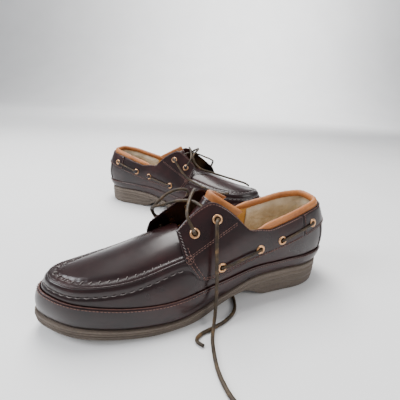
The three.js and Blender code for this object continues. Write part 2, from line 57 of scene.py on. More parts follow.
LEATHER = 1.6
UPPER_LEATHER = 1.5
VAMP_DEPTH = 1.8
LINING_DEPTH = 6.4
LINING_THICKNESS = 1.2
LINING_TOP_DROP = 5.0
FOOTBED_DEPTH = LINING_DEPTH + LINING_THICKNESS + 1
MUDGUARD_THICKNESS = 1.6
MUDGUARD_HEIGHT = 12.5
MUDGUARD_TOE_RISE = 8.5
BAND_HEIGHT_AT_HEEL = 74
BAND_SLOPE = 0.2235
COLLAR_HEIGHT = 9
COLLAR_THICKNESS = 6.4
MIDSOLE_HEIGHT = 9.5
MIDSOLE_TAPER = 5.3
OUTSOLE_GAP = 0.3
ARCH_RISE = 12.5
TOE_SPRING = 11
APRON_CROWN = 15.5
LACE_DIAMETER = 3.2

SOLE_RING = [
    (0, -1, 28.6),
    (9, 24, 28.8), (32, 34.5, 29.5), (62, 34.5, 29.2), (98, 34.2, 26), (135, 39.5, 17.5),
    (178, 48.3, 9.8), (222, 47.3, 12.2), (263, 37.5, 17.5), (289, 19.5, 20.5),
    (298.5, 3, 21.5),
    (290, -13, 20.5), (264, -29.5, 17.5), (222, -42, 12.2), (178, -45.5, 9.8),
    (135, -38, 17.5), (98, -33.5, 26), (62, -34, 29.2), (32, -34, 29.5), (9, -25, 28.8),
]
MIDDLE_RING = [
    (-11.5, -1, 57),
    (0, 23.5, 59), (30, 33.5, 61), (62, 37, 58), (98, 37.8, 51), (135, 41.5, 43),
    (180, 47, 35.5), (222, 46.5, 33.5), (263, 36.2, 36), (287, 19, 38.5),
    (296, 3, 40),
    (288.5, -12, 38.5), (263, -28, 36), (222, -40.5, 33.5), (180, -44, 35.5),
    (135, -39.5, 43), (98, -36, 51), (62, -35.5, 58), (30, -33, 61), (0, -24, 59),
]
TOP_RING = [
    (5, -2, 101),
    (10.5, 16, 100.5), (34, 25.5, 97), (62, 29.5, 90.5), (98, 33.5, 83), (135, 36.5, 73),
    (180, 38, 62.7), (222, 40.3, 54.2), (259, 33.5, 52.2), (280.5, 19, 53.4),
    (287.5, 4.5, 54.8),
    (282, -8.5, 54.2), (262, -19.5, 52.6), (226, -30, 54.4), (184, -36, 62.7),
    (138, -34, 73), (98, -31, 83), (62, -29, 90.5), (34, -26.5, 97), (10, -18.5, 100.5),
]
STATIONS = len(TOP_RING)
OUTER_FLAP_EDGE = [
    (105, 33.5, 80), (112, 32, 88.5), (121, 28.5, 98), (131, 24, 106), (143.5, 19, 111.5),
    (157, 17.5, 104), (168.5, 18, 95), (178, 19.5, 85.5),
]
INNER_FLAP_EDGE = [
    (106, -31, 84), (116, -30, 94), (129, -26.5, 104.5), (144, -21, 110), (164, -18, 102),
    (181, -17, 92), (197, -20, 79),
]
FLAP_START = 4.05
BAND_SEAM = 2.25

# --- Small mathematics ---


def ease(value, low, high):
    """0 before low, 1 after high, and a smooth step between them."""
    t = np.clip((np.asarray(value, float) - low) / (high - low), 0, 1)
    return t * t * (3 - 2 * t)


def lerp(a, b, t):
    return a + (b - a) * t


def hill(value, centre, width):
    """A smooth bump of height 1 at centre."""
    return np.exp(-(((np.asarray(value, float) - centre) / width) ** 2))


def unit(vectors):
    return vectors / np.maximum(np.linalg.norm(vectors, axis=-1, keepdims=True), 1e-9)


def spline(points, t, closed=False):
    """Catmull-Rom curve through points, evaluated at every t from 0 to 1."""
    points = np.asarray(points, float)
    count = len(points)
    t = np.asarray(t, float)
    if closed:
        place = (t % 1.0) * count
        index = np.floor(place).astype(int)
        part = (place - index)[..., None]
        p0, p1, p2, p3 = (points[(index + shift) % count] for shift in (-1, 0, 1, 2))
    else:
        first = 2 * points[0] - points[1]
        last = 2 * points[-1] - points[-2]
        padded = np.vstack([first, points, last])
        place = np.clip(t, 0, 1) * (count - 1)
        index = np.minimum(np.floor(place).astype(int), count - 2)
        part = (place - index)[..., None]
        p0, p1, p2, p3 = (padded[index + shift] for shift in range(4))
    return 0.5 * (
        2 * p1
        + (p2 - p0) * part
        + (2 * p0 - 5 * p1 + 4 * p2 - p3) * part**2
        + (3 * p1 - p0 - 3 * p2 + p3) * part**3
    )


def smooth_rows(grid, passes, axis):
    """Evens a grid of points out along one axis, with its two borders left in place."""
    grid = np.moveaxis(grid.copy(), axis, 0)
    for _ in range(passes):
        grid[1:-1] = 0.25 * grid[:-2] + 0.5 * grid[1:-1] + 0.25 * grid[2:]
    return np.moveaxis(grid, 0, axis)


def arc_lengths(points):
    steps = np.linalg.norm(np.diff(points, axis=0), axis=1)
    return np.concatenate([[0], np.cumsum(steps)])


def points_at(wanted, lengths, points):
    """Points at the wanted lengths along a line whose points lie at the given lengths."""
    return np.stack([np.interp(wanted, lengths, points[:, axis]) for axis in range(3)], axis=1)


def even_points(points, spacing):
    """The same line with points a fixed spacing apart."""
    lengths = arc_lengths(points)
    count = max(2, int(round(lengths[-1] / spacing)) + 1)
    return points_at(np.linspace(0, lengths[-1], count), lengths, points)


# --- The skin of the upper ---


def ring_tangent(ring, u, step=0.002):
    return spline(ring, u + step, True) - spline(ring, u - step, True)


def inwards_of(tangent):
    """The level direction to the inside of the shoe from a line that runs round it."""
    return unit(np.stack([tangent[..., 1], -tangent[..., 0], 0 * tangent[..., 0]], axis=-1))


def skin(u, v):
    """u runs round the shoe from the heel by the outer side; v from the sole to the top."""
    u, v = np.broadcast_arrays(np.asarray(u, float), np.asarray(v, float))
    low, middle, high = (spline(ring, u, True) for ring in (SOLE_RING, MIDDLE_RING, TOP_RING))
    v = v[..., None]
    return low * (1 - v) * (1 - 2 * v) + middle * 4 * v * (1 - v) + high * v * (2 * v - 1)


def skin_normal(u, v, step=0.004):
    across = skin(np.asarray(u) + step, v) - skin(np.asarray(u) - step, v)
    up = skin(u, np.asarray(v) + step) - skin(u, np.asarray(v) - step)
    return unit(np.cross(up, across))


def layer(u, v, depth):
    """A point on the skin moved inwards, and never below the top of the sole."""
    depth = np.asarray(depth, float)[..., None]
    point = skin(u, v) - skin_normal(u, v) * depth
    foot = spline(SOLE_RING, u, True)[..., 2]
    point[..., 2] = np.maximum(point[..., 2], foot)
    return point


def height_on_skin(u, height_at):
    """The v at which the skin reaches a height, which may depend on how far along it is."""
    u = np.asarray(u, float)
    low = np.zeros(u.shape)
    high = np.ones(u.shape)
    for _ in range(20):
        middle = (low + high) / 2
        point = skin(u, middle)
        below = point[..., 2] < height_at(point[..., 0])
        low = np.where(below, middle, low)
        high = np.where(below, high, middle)
    return (low + high) / 2


def station_from_heel(u):
    u = np.asarray(u) % 1.0
    return np.minimum(u, 1 - u) * STATIONS


def band_height(x):
    return BAND_HEIGHT_AT_HEEL - BAND_SLOPE * x


def band_edge(u):
    return height_on_skin(u, band_height)


def top_edge_drop(u, drop):
    top = spline(TOP_RING, u, True)[..., 2]
    return height_on_skin(u, lambda x: top - drop)


def collar_edge(u):
    return top_edge_drop(u, COLLAR_HEIGHT)


def mudguard_edge(u):
    foot = spline(SOLE_RING, u, True)
    rise = MUDGUARD_HEIGHT + MUDGUARD_TOE_RISE * ease(foot[..., 0], 60, 175)
    return height_on_skin(u, lambda x: foot[..., 2] + rise)


def midsole_depth(x):
    return MIDSOLE_HEIGHT - MIDSOLE_TAPER * ease(x, 95, 150)


def tread_height(x):
    rise = ease(x, 80, 110) * (1 - ease(x, 112, 168))
    spring = np.maximum(0, (np.asarray(x, float) - 205) / 93) ** 1.2
    return ARCH_RISE * rise + TOE_SPRING * spring


def sole_outline(u, outset):
    """The sole's outline moved outwards in plan; its height is that of the sole's top."""
    outwards = -inwards_of(ring_tangent(SOLE_RING, u))
    return spline(SOLE_RING, u, True) + outwards * np.asarray(outset, float)[..., None]


# --- From a shoe's own frame to the part's frame ---


class Shoe:
    """One shoe: its name, which way its toe points, and where its parts go."""

    def __init__(self, side, yaw, mirrored):
        self.side = side
        self.body = f"{side}_shoe"
        self.tongue_body = f"{side}_tongue"
        self.yaw = math.radians(yaw)
        self.flip = -1.0 if mirrored else 1.0
        self.shift = np.zeros(3)
        outline = sole_outline(np.linspace(0, 1, 4001), 1.0)
        low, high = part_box(f"{side}_midsole")
        placed = self.to_part(outline)
        middle = (placed.min(axis=0) + placed.max(axis=0)) / 2
        target = (np.array(low) + np.array(high)) / 2
        self.shift = np.array([target[0] - middle[0], target[1] - middle[1], 0.0])

    def to_part(self, points):
        points = np.asarray(points, float) * MM
        x, y, z = points[..., 0], points[..., 1] * self.flip, points[..., 2]
        cosine, sine = math.cos(self.yaw), math.sin(self.yaw)
        turned = np.stack([x * cosine - y * sine, x * sine + y * cosine, z], axis=-1)
        return turned + self.shift

    def make_object(self, name, vertices, faces):
        """A mesh object made from points in the shoe's own frame."""
        if self.flip < 0:
            faces = flipped(faces)
        mesh = bpy.data.meshes.new(name)
        mesh.from_pydata([tuple(p) for p in self.to_part(vertices)], [], faces)
        made = bpy.data.objects.new(name, mesh)
        bpy.context.scene.collection.objects.link(made)
        return made

    def add(self, name, shape, finish, body=None, replaces=()):
        """A piece of this shoe: its shape is (vertices, faces), its finish (material, slot); the slot
        is not used.
        """
        material, slot = finish
        piece = self.make_object(f"look_{self.side}_{name}", *shape)
        piece.data.validate()
        piece.data.shade_smooth()
        piece.data.materials.append(material)
        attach(piece, body or self.body)
        if replaces:
            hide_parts(*[f"{self.side}_{node}" for node in replaces])
        return piece

    def sew(self, name, stitches, finish, body=None):
        self.add(name, join(stitches), finish, body)


# --- Mesh builders ---


def end_faces(points):
    """Faces that close one section rung by rung, so that a curved section closes cleanly too."""
    low = 0
    high = points - 2
    faces = [(high, high + 1, low)]
    while high - low > 2:
        faces.append((low, low + 1, high - 1, high))
        low += 1
        high -= 1
    if high - low == 2:
        faces.append((low, low + 1, high))
    return faces


def flipped(faces):
    return [tuple(reversed(face)) for face in faces]


def section_faces(sections, points, looped):
    """Quads between closed sections, and closed ends if the row of sections is not looped."""
    faces = []
    spans = sections if looped else sections - 1
    for section in range(spans):
        here = section * points
        there = ((section + 1) % sections) * points
        for point in range(points):
            after = (point + 1) % points
            faces.append((here + point, here + after, there + after, there + point))
    if not looped:
        last = (sections - 1) * points
        for face in end_faces(points):
            faces.append(tuple(reversed(face)))
            faces.append(tuple(last + point for point in face))
    return faces


def grid_normals(grid, looped):
    """Normals of a grid of rows by columns, on the side that row x column points to."""
    up = np.gradient(grid, axis=0)
    if looped:
        across = np.roll(grid, -1, axis=1) - np.roll(grid, 1, axis=1)
    else:
        across = np.gradient(grid, axis=1)
    return unit(np.cross(up, across))


def slab(grid, thickness, looped=False):
    """A sheet of leather under a grid of points: rounded edges, closed all over."""
    normals = grid_normals(grid, looped)
    thickness = np.broadcast_to(np.asarray(thickness, float), grid.shape[:2])[..., None]
    outer = grid.copy()
    inner = grid - normals * thickness
    edge_pull = 0.3 * thickness
    edges = [np.s_[0], np.s_[-1]]
    if not looped:
        edges += [np.s_[:, 0], np.s_[:, -1]]
    for edge in edges:
        outer[edge] -= normals[edge] * edge_pull[edge]
        inner[edge] += normals[edge] * edge_pull[edge]
    top_out = unit(grid[-1] - grid[-2]) * thickness[-1] * 0.2
    low_out = unit(grid[0] - grid[1]) * thickness[0] * 0.2
    top = (outer[-1] + inner[-1]) / 2 + top_out
    low = (outer[0] + inner[0]) / 2 + low_out
    loop = np.concatenate([outer, top[None], inner[::-1], low[None]], axis=0)
    sections = np.moveaxis(loop, 1, 0)
    count, points = sections.shape[:2]
    return sections.reshape(-1, 3), section_faces(count, points, looped)


def edge_rows(rows, edge=0.012):
    """Fractions for the rows of a slab, with close pairs at both edges for their rounding."""
    return np.concatenate([[0, edge], np.linspace(0, 1, rows + 1)[1:-1], [1 - edge, 1]])


def frames_along(path):
    """Tangents and two steady cross directions along a line of points."""
    tangents = unit(np.gradient(path, axis=0))
    normal = np.cross(tangents[0], (0.0, 0.0, 1.0))
    if np.linalg.norm(normal) < 0.1:
        normal = np.cross(tangents[0], (1.0, 0.0, 0.0))
    normals = []
    for tangent in tangents:
        normal = normal - tangent * np.dot(normal, tangent)
        normal = normal / np.linalg.norm(normal)
        normals.append(normal)
    normals = np.array(normals)
    return tangents, normals, np.cross(tangents, normals)


def tube(path, width, height=None, sides=12, squareness=2.0, wobble=0.0):
    """A closed tube along a line. Squareness above 2 flattens its four sides."""
    height = height or width
    _, first, second = frames_along(path)
    angles = np.arange(sides) * 2 * math.pi / sides
    power = 2.0 / squareness
    across = np.sign(np.cos(angles)) * np.abs(np.cos(angles)) ** power * width / 2
    upward = np.sign(np.sin(angles)) * np.abs(np.sin(angles)) ** power * height / 2
    lengths = arc_lengths(path)
    swell = 1 + wobble * (np.sin(lengths * 0.9) + 0.6 * np.sin(lengths * 2.3 + 1.0))
    sections = (
        path[:, None]
        + first[:, None] * (across[None, :, None] * swell[:, None, None])
        + second[:, None] * (upward[None, :, None] * swell[:, None, None])
    )
    return sections.reshape(-1, 3), section_faces(len(path), sides, False)


def join(parts):
    """Several (vertices, faces) meshes as one."""
    vertices, faces, offset = [], [], 0
    for part_vertices, part_faces in parts:
        vertices.append(np.asarray(part_vertices))
        faces.extend([tuple(index + offset for index in face) for face in part_faces])
        offset += len(part_vertices)
    return np.concatenate(vertices), faces


def stitch_row(line, normals, pitch, length, thread, lift=0.0, slant=0.0, start=0.5):
    """Separate stitches along a line of surface points: short arched threads."""
    lengths = arc_lengths(line)
    parts = []
    place = pitch * start
    while place + length < lengths[-1]:
        at = np.linspace(place, place + length, 6)
        points = points_at(at, lengths, line)
        out = unit(points_at(at, lengths, normals))
        arch = np.array([-0.5, 0.35, 0.6, 0.6, 0.35, -0.5]) * thread
        along = unit(points[-1] - points[0])
        aside = np.cross(out, along) * (np.linspace(-0.5, 0.5, 6) * slant)[:, None]
        path = points + out * (arch + lift)[:, None] + aside
        parts.append(tube(path, thread, sides=6))
        place += pitch
    return parts


# Each kind of seam: pitch, stitch length, thread and lift off the leather.
SEAM = (3.1, 2.1, 0.62, 0.05)
THIN_SEAM = (3.1, 2.1, 0.6, 0.05)
GUARD_SEAM = (3.0, 2.0, 0.6, 0.05)
SOFT_SEAM = (3.0, 2.0, 0.6, 0.1)
ROUND_SEAM = (2.3, 1.7, 0.6, 0.1)
CROSS_SEAM = (2.9, 2.2, 0.6, 0.2)
WHIP_SEAM = (3.0, 2.2, 0.7, 0.1)
PUCKER_PITCH = 7.2
PUCKER_SEAM = (PUCKER_PITCH, 4.4, 0.8, 0.15)

# --- Materials ---


class Paint:
    """A node material under construction: short calls for the nodes used here."""

    def __init__(self, name):
        self.material = bpy.data.materials.new(name)
        self.material.use_nodes = True
        self.tree = self.material.node_tree
        self.shader = self.tree.nodes["Principled BSDF"]
        self.place = self.tree.nodes.new("ShaderNodeTexCoord").outputs["Object"]

    def node(self, kind, **inputs):
        """Adds a node; each input is another node's output to link, or a plain value."""
        node = self.tree.nodes.new(f"ShaderNode{kind}")
        for name, value in inputs.items():
            self.feed(node.inputs[name.replace("_", " ")], value)
        return node

    def feed(self, socket, value):
        if isinstance(value, bpy.types.NodeSocket):
            self.tree.links.new(value, socket)
        else:
            socket.default_value = value

    def stretched(self, stretch):
        if stretch is None:
            return self.place
        return self.node("Mapping", Vector=self.place, Scale=stretch).outputs["Vector"]

    def noise(self, scale, detail=4.0, roughness=0.55, stretch=None):
        place = self.stretched(stretch)
        node = self.node("TexNoise", Vector=place, Scale=scale, Detail=detail, Roughness=roughness)
        return node.outputs["Fac"]

    def cells(self, scale):
        node = self.node("TexVoronoi", Vector=self.place, Scale=scale)
        node.feature = "DISTANCE_TO_EDGE"
        return node.outputs["Distance"]

    def ramp(self, value, *stops):
        node = self.node("ValToRGB", Fac=value)
        while len(node.color_ramp.elements) < len(stops):
            node.color_ramp.elements.new(0.5)
        for element, (position, colour) in zip(node.color_ramp.elements, stops):
            element.position = position
            element.color = (*colour, 1.0)
        return node.outputs["Color"]

    def span(self, value, low, high):
        return self.node("MapRange", Value=value, To_Min=low, To_Max=high).outputs["Result"]

    def times(self, first, second):
        """One colour multiplied by another."""
        node = self.tree.nodes.new("ShaderNodeMix")
        node.data_type = "RGBA"
        node.blend_type = "MULTIPLY"
        self.feed(node.inputs["Factor"], 1.0)
        self.feed(node.inputs["A"], first)
        self.feed(node.inputs["B"], second)
        return node.outputs["Result"]

    def finish(self, colour, roughness, bumps, **values):
        """Sets the shader; bumps are stacked (height output, strength, distance in metres)."""
        self.feed(self.shader.inputs["Base Color"], colour)
        self.feed(self.shader.inputs["Roughness"], roughness)
        normal = None
        for height, strength, distance in bumps:
            node = self.node("Bump", Strength=strength, Distance=distance, Height=height)
            if normal is not None:
                self.feed(node.inputs["Normal"], normal)
            normal = node.outputs["Normal"]
        if normal is not None:
            self.feed(self.shader.inputs["Normal"], normal)
        for name, value in values.items():
            self.feed(self.shader.inputs[name.replace("_", " ")], value)
        return self.material


def grey(value):
    return (value, value, value)


def polished_leather():
    """Dark burgundy-brown pull-up leather: deep, glossy, warmer where it is worn."""
    paint = Paint("polished_leather")
    dark = (0.30, (0.0075, 0.0040, 0.0042))
    middle = (0.52, (0.0170, 0.0056, 0.0058))
    worn = (0.72, (0.0360, 0.0100, 0.0095))
    tone = paint.ramp(paint.noise(14, 3), dark, middle, worn)
    mottle = paint.ramp(paint.noise(120, 5), (0.35, (0.78, 0.76, 0.76)), (0.7, (1.12, 1.06, 1.04)))
    roughness = paint.span(paint.noise(30, 3), 0.24, 0.33)
    dents = (paint.noise(45, 3), 0.12, 0.0012)
    grain = (paint.cells(900), 0.10, 0.00025)
    pores = (paint.noise(1500, 2), 0.06, 0.0002)
    return paint.finish(
        paint.times(tone, mottle), roughness, [dents, grain, pores],
        Coat_Weight=0.12, Coat_Roughness=0.12, Specular_IOR_Level=0.36,
    )


def cut_edge_leather():
    """The raw cut edge of the upper leather: redder and drier."""
    paint = Paint("cut_edge_leather")
    colour = paint.ramp(paint.noise(260, 4), (0.3, (0.050, 0.018, 0.014)), (0.7, (0.11, 0.042, 0.030)))
    roughness = paint.span(paint.noise(400, 3), 0.5, 0.7)
    return paint.finish(colour, roughness, [(paint.noise(900, 3), 0.3, 0.0003)])


def soft_leather(name, dark, light, roughness, crease):
    """Softer leather for bindings and linings, with fine creases and pores."""
    paint = Paint(name)
    base = paint.ramp(paint.noise(35, 4), (0.3, dark), (0.7, light))
    mottle = paint.ramp(paint.noise(400, 4), (0.3, (0.86, 0.84, 0.82)), (0.7, (1.06, 1.05, 1.04)))
    shine = paint.span(paint.noise(150, 3), roughness - 0.08, roughness + 0.1)
    creases = (paint.noise(90, 5, 0.6), crease, 0.0012)
    pores = (paint.cells(1100), 0.15, 0.0002)
    return paint.finish(paint.times(base, mottle), shine, [creases, pores], Specular_IOR_Level=0.4)


def crinkled_lining():
    """The pale, shiny lining of the heel, crinkled all over."""
    paint = Paint("crinkled_lining")
    dark = (0.3, (0.46, 0.36, 0.23))
    middle = (0.5, (0.62, 0.52, 0.36))
    light = (0.72, (0.80, 0.72, 0.56))
    colour = paint.ramp(paint.noise(40, 5), dark, middle, light)
    roughness = paint.span(paint.noise(90, 4), 0.22, 0.45)
    crinkles = (paint.noise(55, 5, 0.65, (1.0, 1.0, 2.2)), 0.8, 0.003)
    grain = (paint.noise(220, 4), 0.25, 0.0008)
    return paint.finish(colour, roughness, [crinkles, grain], Coat_Weight=0.3, Coat_Roughness=0.25)


def rubber(name, dark, light):
    """Matte taupe sole rubber with a faint mould texture and dust."""
    paint = Paint(name)
    base = paint.ramp(paint.noise(25, 4), (0.3, dark), (0.7, light))
    dust = paint.ramp(paint.noise(600, 3), (0.35, grey(0.88)), (0.7, grey(1.08)))
    roughness = paint.span(paint.noise(200, 3), 0.55, 0.75)
    bumps = [(paint.noise(1200, 3), 0.2, 0.0002), (paint.noise(80, 3), 0.1, 0.0006)]
    return paint.finish(paint.times(base, dust), roughness, bumps, Specular_IOR_Level=0.35)


def copper():
    paint = Paint("copper_eyelet")
    colour = paint.ramp(paint.noise(300, 3), (0.3, (0.42, 0.20, 0.09)), (0.7, (0.80, 0.48, 0.26)))
    roughness = paint.span(paint.noise(500, 3), 0.22, 0.42)
    return paint.finish(colour, roughness, [(paint.noise(1500, 2), 0.1, 0.0001)], Metallic=1.0)


def rawhide():
    """Waxed rawhide lace: dark olive-brown with tan showing where it is rubbed."""
    paint = Paint("rawhide_lace")
    dark = (0.34, (0.016, 0.0095, 0.0045))
    middle = (0.56, (0.046, 0.028, 0.012))
    rubbed = (0.74, (0.15, 0.085, 0.034))
    base = paint.ramp(paint.noise(130, 4, 0.6), dark, middle, rubbed)
    fibre = paint.ramp(paint.noise(900, 3), (0.3, grey(0.8)), (0.7, (1.15, 1.12, 1.08)))
    roughness = paint.span(paint.noise(300, 3), 0.42, 0.64)
    bumps = [(paint.noise(500, 4), 0.35, 0.0004), (paint.noise(1600, 2), 0.2, 0.0002)]
    return paint.finish(paint.times(base, fibre), roughness, bumps, Specular_IOR_Level=0.35)


def thread(name, dark, light):
    paint = Paint(name)
    colour = paint.ramp(paint.noise(1200, 2), (0.3, dark), (0.7, light))
    roughness = paint.span(paint.noise(800, 2), 0.55, 0.75)
    return paint.finish(colour, roughness, [(paint.noise(3000, 2), 0.4, 0.0001)])


def pale_floor():
    paint = Paint("pale_floor")
    colour = paint.ramp(paint.noise(3, 2), (0.3, grey(0.84)), (0.7, grey(0.88)))
    return paint.finish(colour, paint.span(paint.noise(40, 2), 0.6, 0.7), [])


# Each finish is a material and the name of the frame's slot for it; only the material is put on the
# piece.
UPPER = (polished_leather(), "upper")
CUT_EDGE = (cut_edge_leather(), "upper")
BINDING = (
    soft_leather("tan_binding", (0.30, 0.095, 0.022), (0.46, 0.175, 0.050), 0.45, 0.3),
    "binding",
)
LINING = (
    soft_leather("mustard_lining", (0.52, 0.26, 0.05), (0.66, 0.36, 0.09), 0.6, 0.3),
    "lining",
)
HEEL_LINING = (crinkled_lining(), "lining")
SOCK = (soft_leather("sock_leather", (0.36, 0.24, 0.12), (0.50, 0.36, 0.20), 0.65, 0.2), "footbed")
MIDSOLE_RUBBER = (rubber("midsole_rubber", (0.105, 0.080, 0.062), (0.150, 0.118, 0.092)), "midsole")
OUTSOLE_RUBBER = (rubber("outsole_rubber", (0.088, 0.068, 0.053), (0.125, 0.098, 0.077)), "outsole")
COPPER = (copper(), "eyelet")
RAWHIDE = (rawhide(), "lace")
GREY_THREAD = (thread("grey_thread", (0.10, 0.085, 0.08), (0.24, 0.21, 0.20)), "lace")
RED_THREAD = (thread("red_brown_thread", (0.10, 0.045, 0.035), (0.20, 0.10, 0.08)), "lace")

# --- Camera, floor and light ---

CAMERA_PLACE = (0.03768, -0.35413, 0.20721)
CAMERA_HEADING = math.radians(-0.494)
CAMERA_PITCH = math.radians(17.76)
CAMERA_ROLL = math.radians(3.46)
CAMERA_LENS = 23.61
CAMERA_SHIFT = (-0.0432, -0.0493)


def make_camera():
    data = bpy.data.cameras.new("camera")
    data.lens = CAMERA_LENS
    data.sensor_width = 36
    data.shift_x, data.shift_y = CAMERA_SHIFT
    data.clip_start = 0.01
    camera = bpy.data.objects.new("camera", data)
    right = Vector((1, 0, 0))
    up = Vector((0, math.sin(CAMERA_PITCH), math.cos(CAMERA_PITCH)))
    back = Vector((0, -math.cos(CAMERA_PITCH), math.sin(CAMERA_PITCH)))
    turned_right = right * math.cos(CAMERA_ROLL) + up * math.sin(CAMERA_ROLL)
    turned_up = up * math.cos(CAMERA_ROLL) - right * math.sin(CAMERA_ROLL)
    pose = Matrix((turned_right, turned_up, back)).transposed().to_4x4()
    heading = Matrix.Rotation(CAMERA_HEADING, 4, "Z")
    camera.matrix_world = Matrix.Translation(CAMERA_PLACE) @ heading @ pose
    bpy.context.scene.collection.objects.link(camera)
    bpy.context.scene.camera = camera


def make_floor():
    """A pale sweep: a floor that curves up into a backdrop far behind the shoes."""
    floor_end, curve, top, reach = 2.5, 1.5, 6.0, 7.0
    profile = [(-reach, 0.0), (0.0, 0.0)]
    for step in range(25):
        angle = math.radians(90 * step / 24)
        profile.append((floor_end + curve * math.sin(angle), curve * (1 - math.cos(angle))))
    profile.append((floor_end + curve, top))
    vertices = []
    for y, z in profile:
        vertices += [(-reach, y, z), (reach, y, z)]
    faces = [(2 * k, 2 * k + 1, 2 * k + 3, 2 * k + 2) for k in range(len(profile) - 1)]
    mesh = bpy.data.meshes.new("sweep")
    mesh.from_pydata(vertices, [], faces)
    mesh.shade_smooth()
    mesh.materials.append(pale_floor())
    sweep = bpy.data.objects.new("sweep", mesh)
    bpy.context.scene.collection.objects.link(sweep)


def add_area_light(name, place, target, size, power, colour):
    data = bpy.data.lights.new(name, "AREA")
    data.shape = "RECTANGLE"
    data.size, data.size_y = size
    data.energy = power
    data.color = colour
    light = bpy.data.objects.new(name, data)
    light.location = place
    direction = Vector(target) - Vector(place)
    light.rotation_mode = "QUATERNION"
    light.rotation_quaternion = direction.to_track_quat("-Z", "Y")
    bpy.context.scene.collection.objects.link(light)


def light_studio():
    world = bpy.data.worlds.new("studio")
    world.use_nodes = True
    background = world.node_tree.nodes["Background"]
    background.inputs["Color"].default_value = (0.93, 0.95, 1.0, 1)
    background.inputs["Strength"].default_value = 0.45
    bpy.context.scene.world = world
    middle = (0.0, 0.0, 0.05)
    add_area_light("ceiling", (-0.2, 0.5, 1.5), middle, (0.7, 1.1), 42, (1.0, 0.99, 0.97))
    add_area_light("window", (-1.3, -0.4, 1.1), middle, (0.5, 0.9), 24, (0.93, 0.96, 1.0))
    add_area_light("fill", (1.2, -0.9, 0.9), middle, (0.6, 0.6), 9, (1.0, 0.97, 0.94))
    add_area_light("back", (0.3, 2.2, 1.6), (0.0, 3.6, 0.8), (3.0, 1.5), 110, (1.0, 1.0, 1.0))


make_camera()
make_floor()
light_studio()

LEFT = Shoe("left", 202.5, False)
RIGHT = Shoe("right", -16.9, True)

# --- Quarters: the side pieces with their flaps ---

OUTER = {"name": "outer", "side": 1, "edge": OUTER_FLAP_EDGE, "low": 5.5, "high": 5.85}
INNER = {"name": "inner", "side": -1, "edge": INNER_FLAP_EDGE, "low": 5.9, "high": 6.35}
QUARTERS = (OUTER, INNER)
LEATHER_DROP = 6.6
SIDE_EYELETS = [(22.5, 78), (68, 67), (94.5, 61.5), (138, 52)]
FLAP_EYELETS = {
    "outer": [(0.775, 0.765), (0.905, 0.755)],
    "inner": [(0.77, 0.76), (0.915, 0.585)],
}


def quarter_column(quarter, column, heights, blended=True):
    """Points up one column of a quarter: from its lower edge up the wall and the flap."""
    low_station = lerp(BAND_SEAM, quarter["low"], column)
    high_station = lerp(BAND_SEAM, quarter["high"], column)
    low_u = quarter["side"] * low_station / STATIONS
    high_u = quarter["side"] * high_station / STATIONS
    on_flap = high_station > FLAP_START
    low_v = float(band_edge(low_u))
    if on_flap:
        high_v = 1.0
    elif blended:
        drop = LEATHER_DROP * (1 - float(ease(high_station, 3.5, FLAP_START)))
        high_v = float(top_edge_drop(np.array(high_u), drop))
    else:
        high_v = float(collar_edge(high_u))
    high = skin(high_u, high_v)
    low = skin(low_u, low_v)
    reach = (high_station - FLAP_START) / (quarter["high"] - FLAP_START)
    tip = spline(quarter["edge"], np.array(np.clip(reach, 0, 1))) if on_flap else high
    if blended:
        turn = np.clip((column - 0.86) / 0.14, 0, 1)
        heights = heights + (1 - heights) * 0.15 * (1 - math.sqrt(max(0.0, 1 - turn**2)))
    wall_length = np.linalg.norm(low - high)
    flap_length = np.linalg.norm(high - tip)
    length = np.asarray(heights) * (wall_length + flap_length)
    part = np.clip(length / wall_length, 0, 1)
    wall = skin(lerp(low_u, high_u, part), lerp(low_v, high_v, part))
    beyond = np.clip((length - wall_length) / max(flap_length, 1e-6), 0, 1)[:, None]
    return np.where((length <= wall_length)[:, None], wall, high + (tip - high) * beyond)


def quarter_surface(quarter, rows=30, columns=84):
    heights = edge_rows(rows)
    places = edge_rows(columns, 0.006)
    if quarter["side"] < 0:
        places = places[::-1]
    grid = np.stack([quarter_column(quarter, place, heights) for place in places], axis=1)
    grid = smooth_rows(grid, 14, 0)
    return smooth_rows(grid, 5, 1)


class Surface:
    """A grid of points with its normals, to seat eyelets, laces and stitches on."""

    def __init__(self, grid):
        self.grid = grid
        self.normals = grid_normals(grid, False)

    def seat(self, point):
        """The surface point nearest to a point, and the outward direction there."""
        distance = np.linalg.norm(self.grid - point, axis=-1)
        row, column = np.unravel_index(np.argmin(distance), distance.shape)
        normal = self.normals[row, column]
        base = self.grid[row, column]
        return point - normal * float(np.dot(point - base, normal)), normal

    def seam(self, rows, columns, kind, **more):
        """Stitches along fractional rows and columns of the grid."""
        return stitch_row(*self.line(rows, columns), *kind, **more)

    def line(self, rows, columns):
        """Points and normals along fractional rows and columns of the grid."""
        count_rows, count_columns = self.grid.shape[:2]
        row = np.clip(np.asarray(rows, float), 0, 1) * (count_rows - 1)
        column = np.clip(np.asarray(columns, float), 0, 1) * (count_columns - 1)
        row, column = np.broadcast_arrays(row, column)
        r0 = np.minimum(row.astype(int), count_rows - 2)
        c0 = np.minimum(column.astype(int), count_columns - 2)
        fr, fc = (row - r0)[:, None], (column - c0)[:, None]
        found = []
        for field in (self.grid, self.normals):
            near = lerp(field[r0, c0], field[r0 + 1, c0], fr)
            far = lerp(field[r0, c0 + 1], field[r0 + 1, c0 + 1], fr)
            found.append(lerp(near, far, fc))
        return found[0], unit(found[1])


def station_along(x):
    low, high = 0.2, 8.0
    for _ in range(24):
        middle = (low + high) / 2
        if skin(middle / STATIONS, 0.6)[..., 0] < x:
            low = middle
        else:
            high = middle
    return low


def side_eyelet_point(quarter, x, z):
    u = quarter["side"] * station_along(x) / STATIONS
    v = height_on_skin(np.array(u), lambda along: z)
    return skin(u, v), skin_normal(u, v)


def flap_eyelet_point(quarter, column, height):
    return quarter_column(quarter, column, np.array([height]), blended=False)[0]


# --- Free lace ends: the same routes as in the CAD model ---

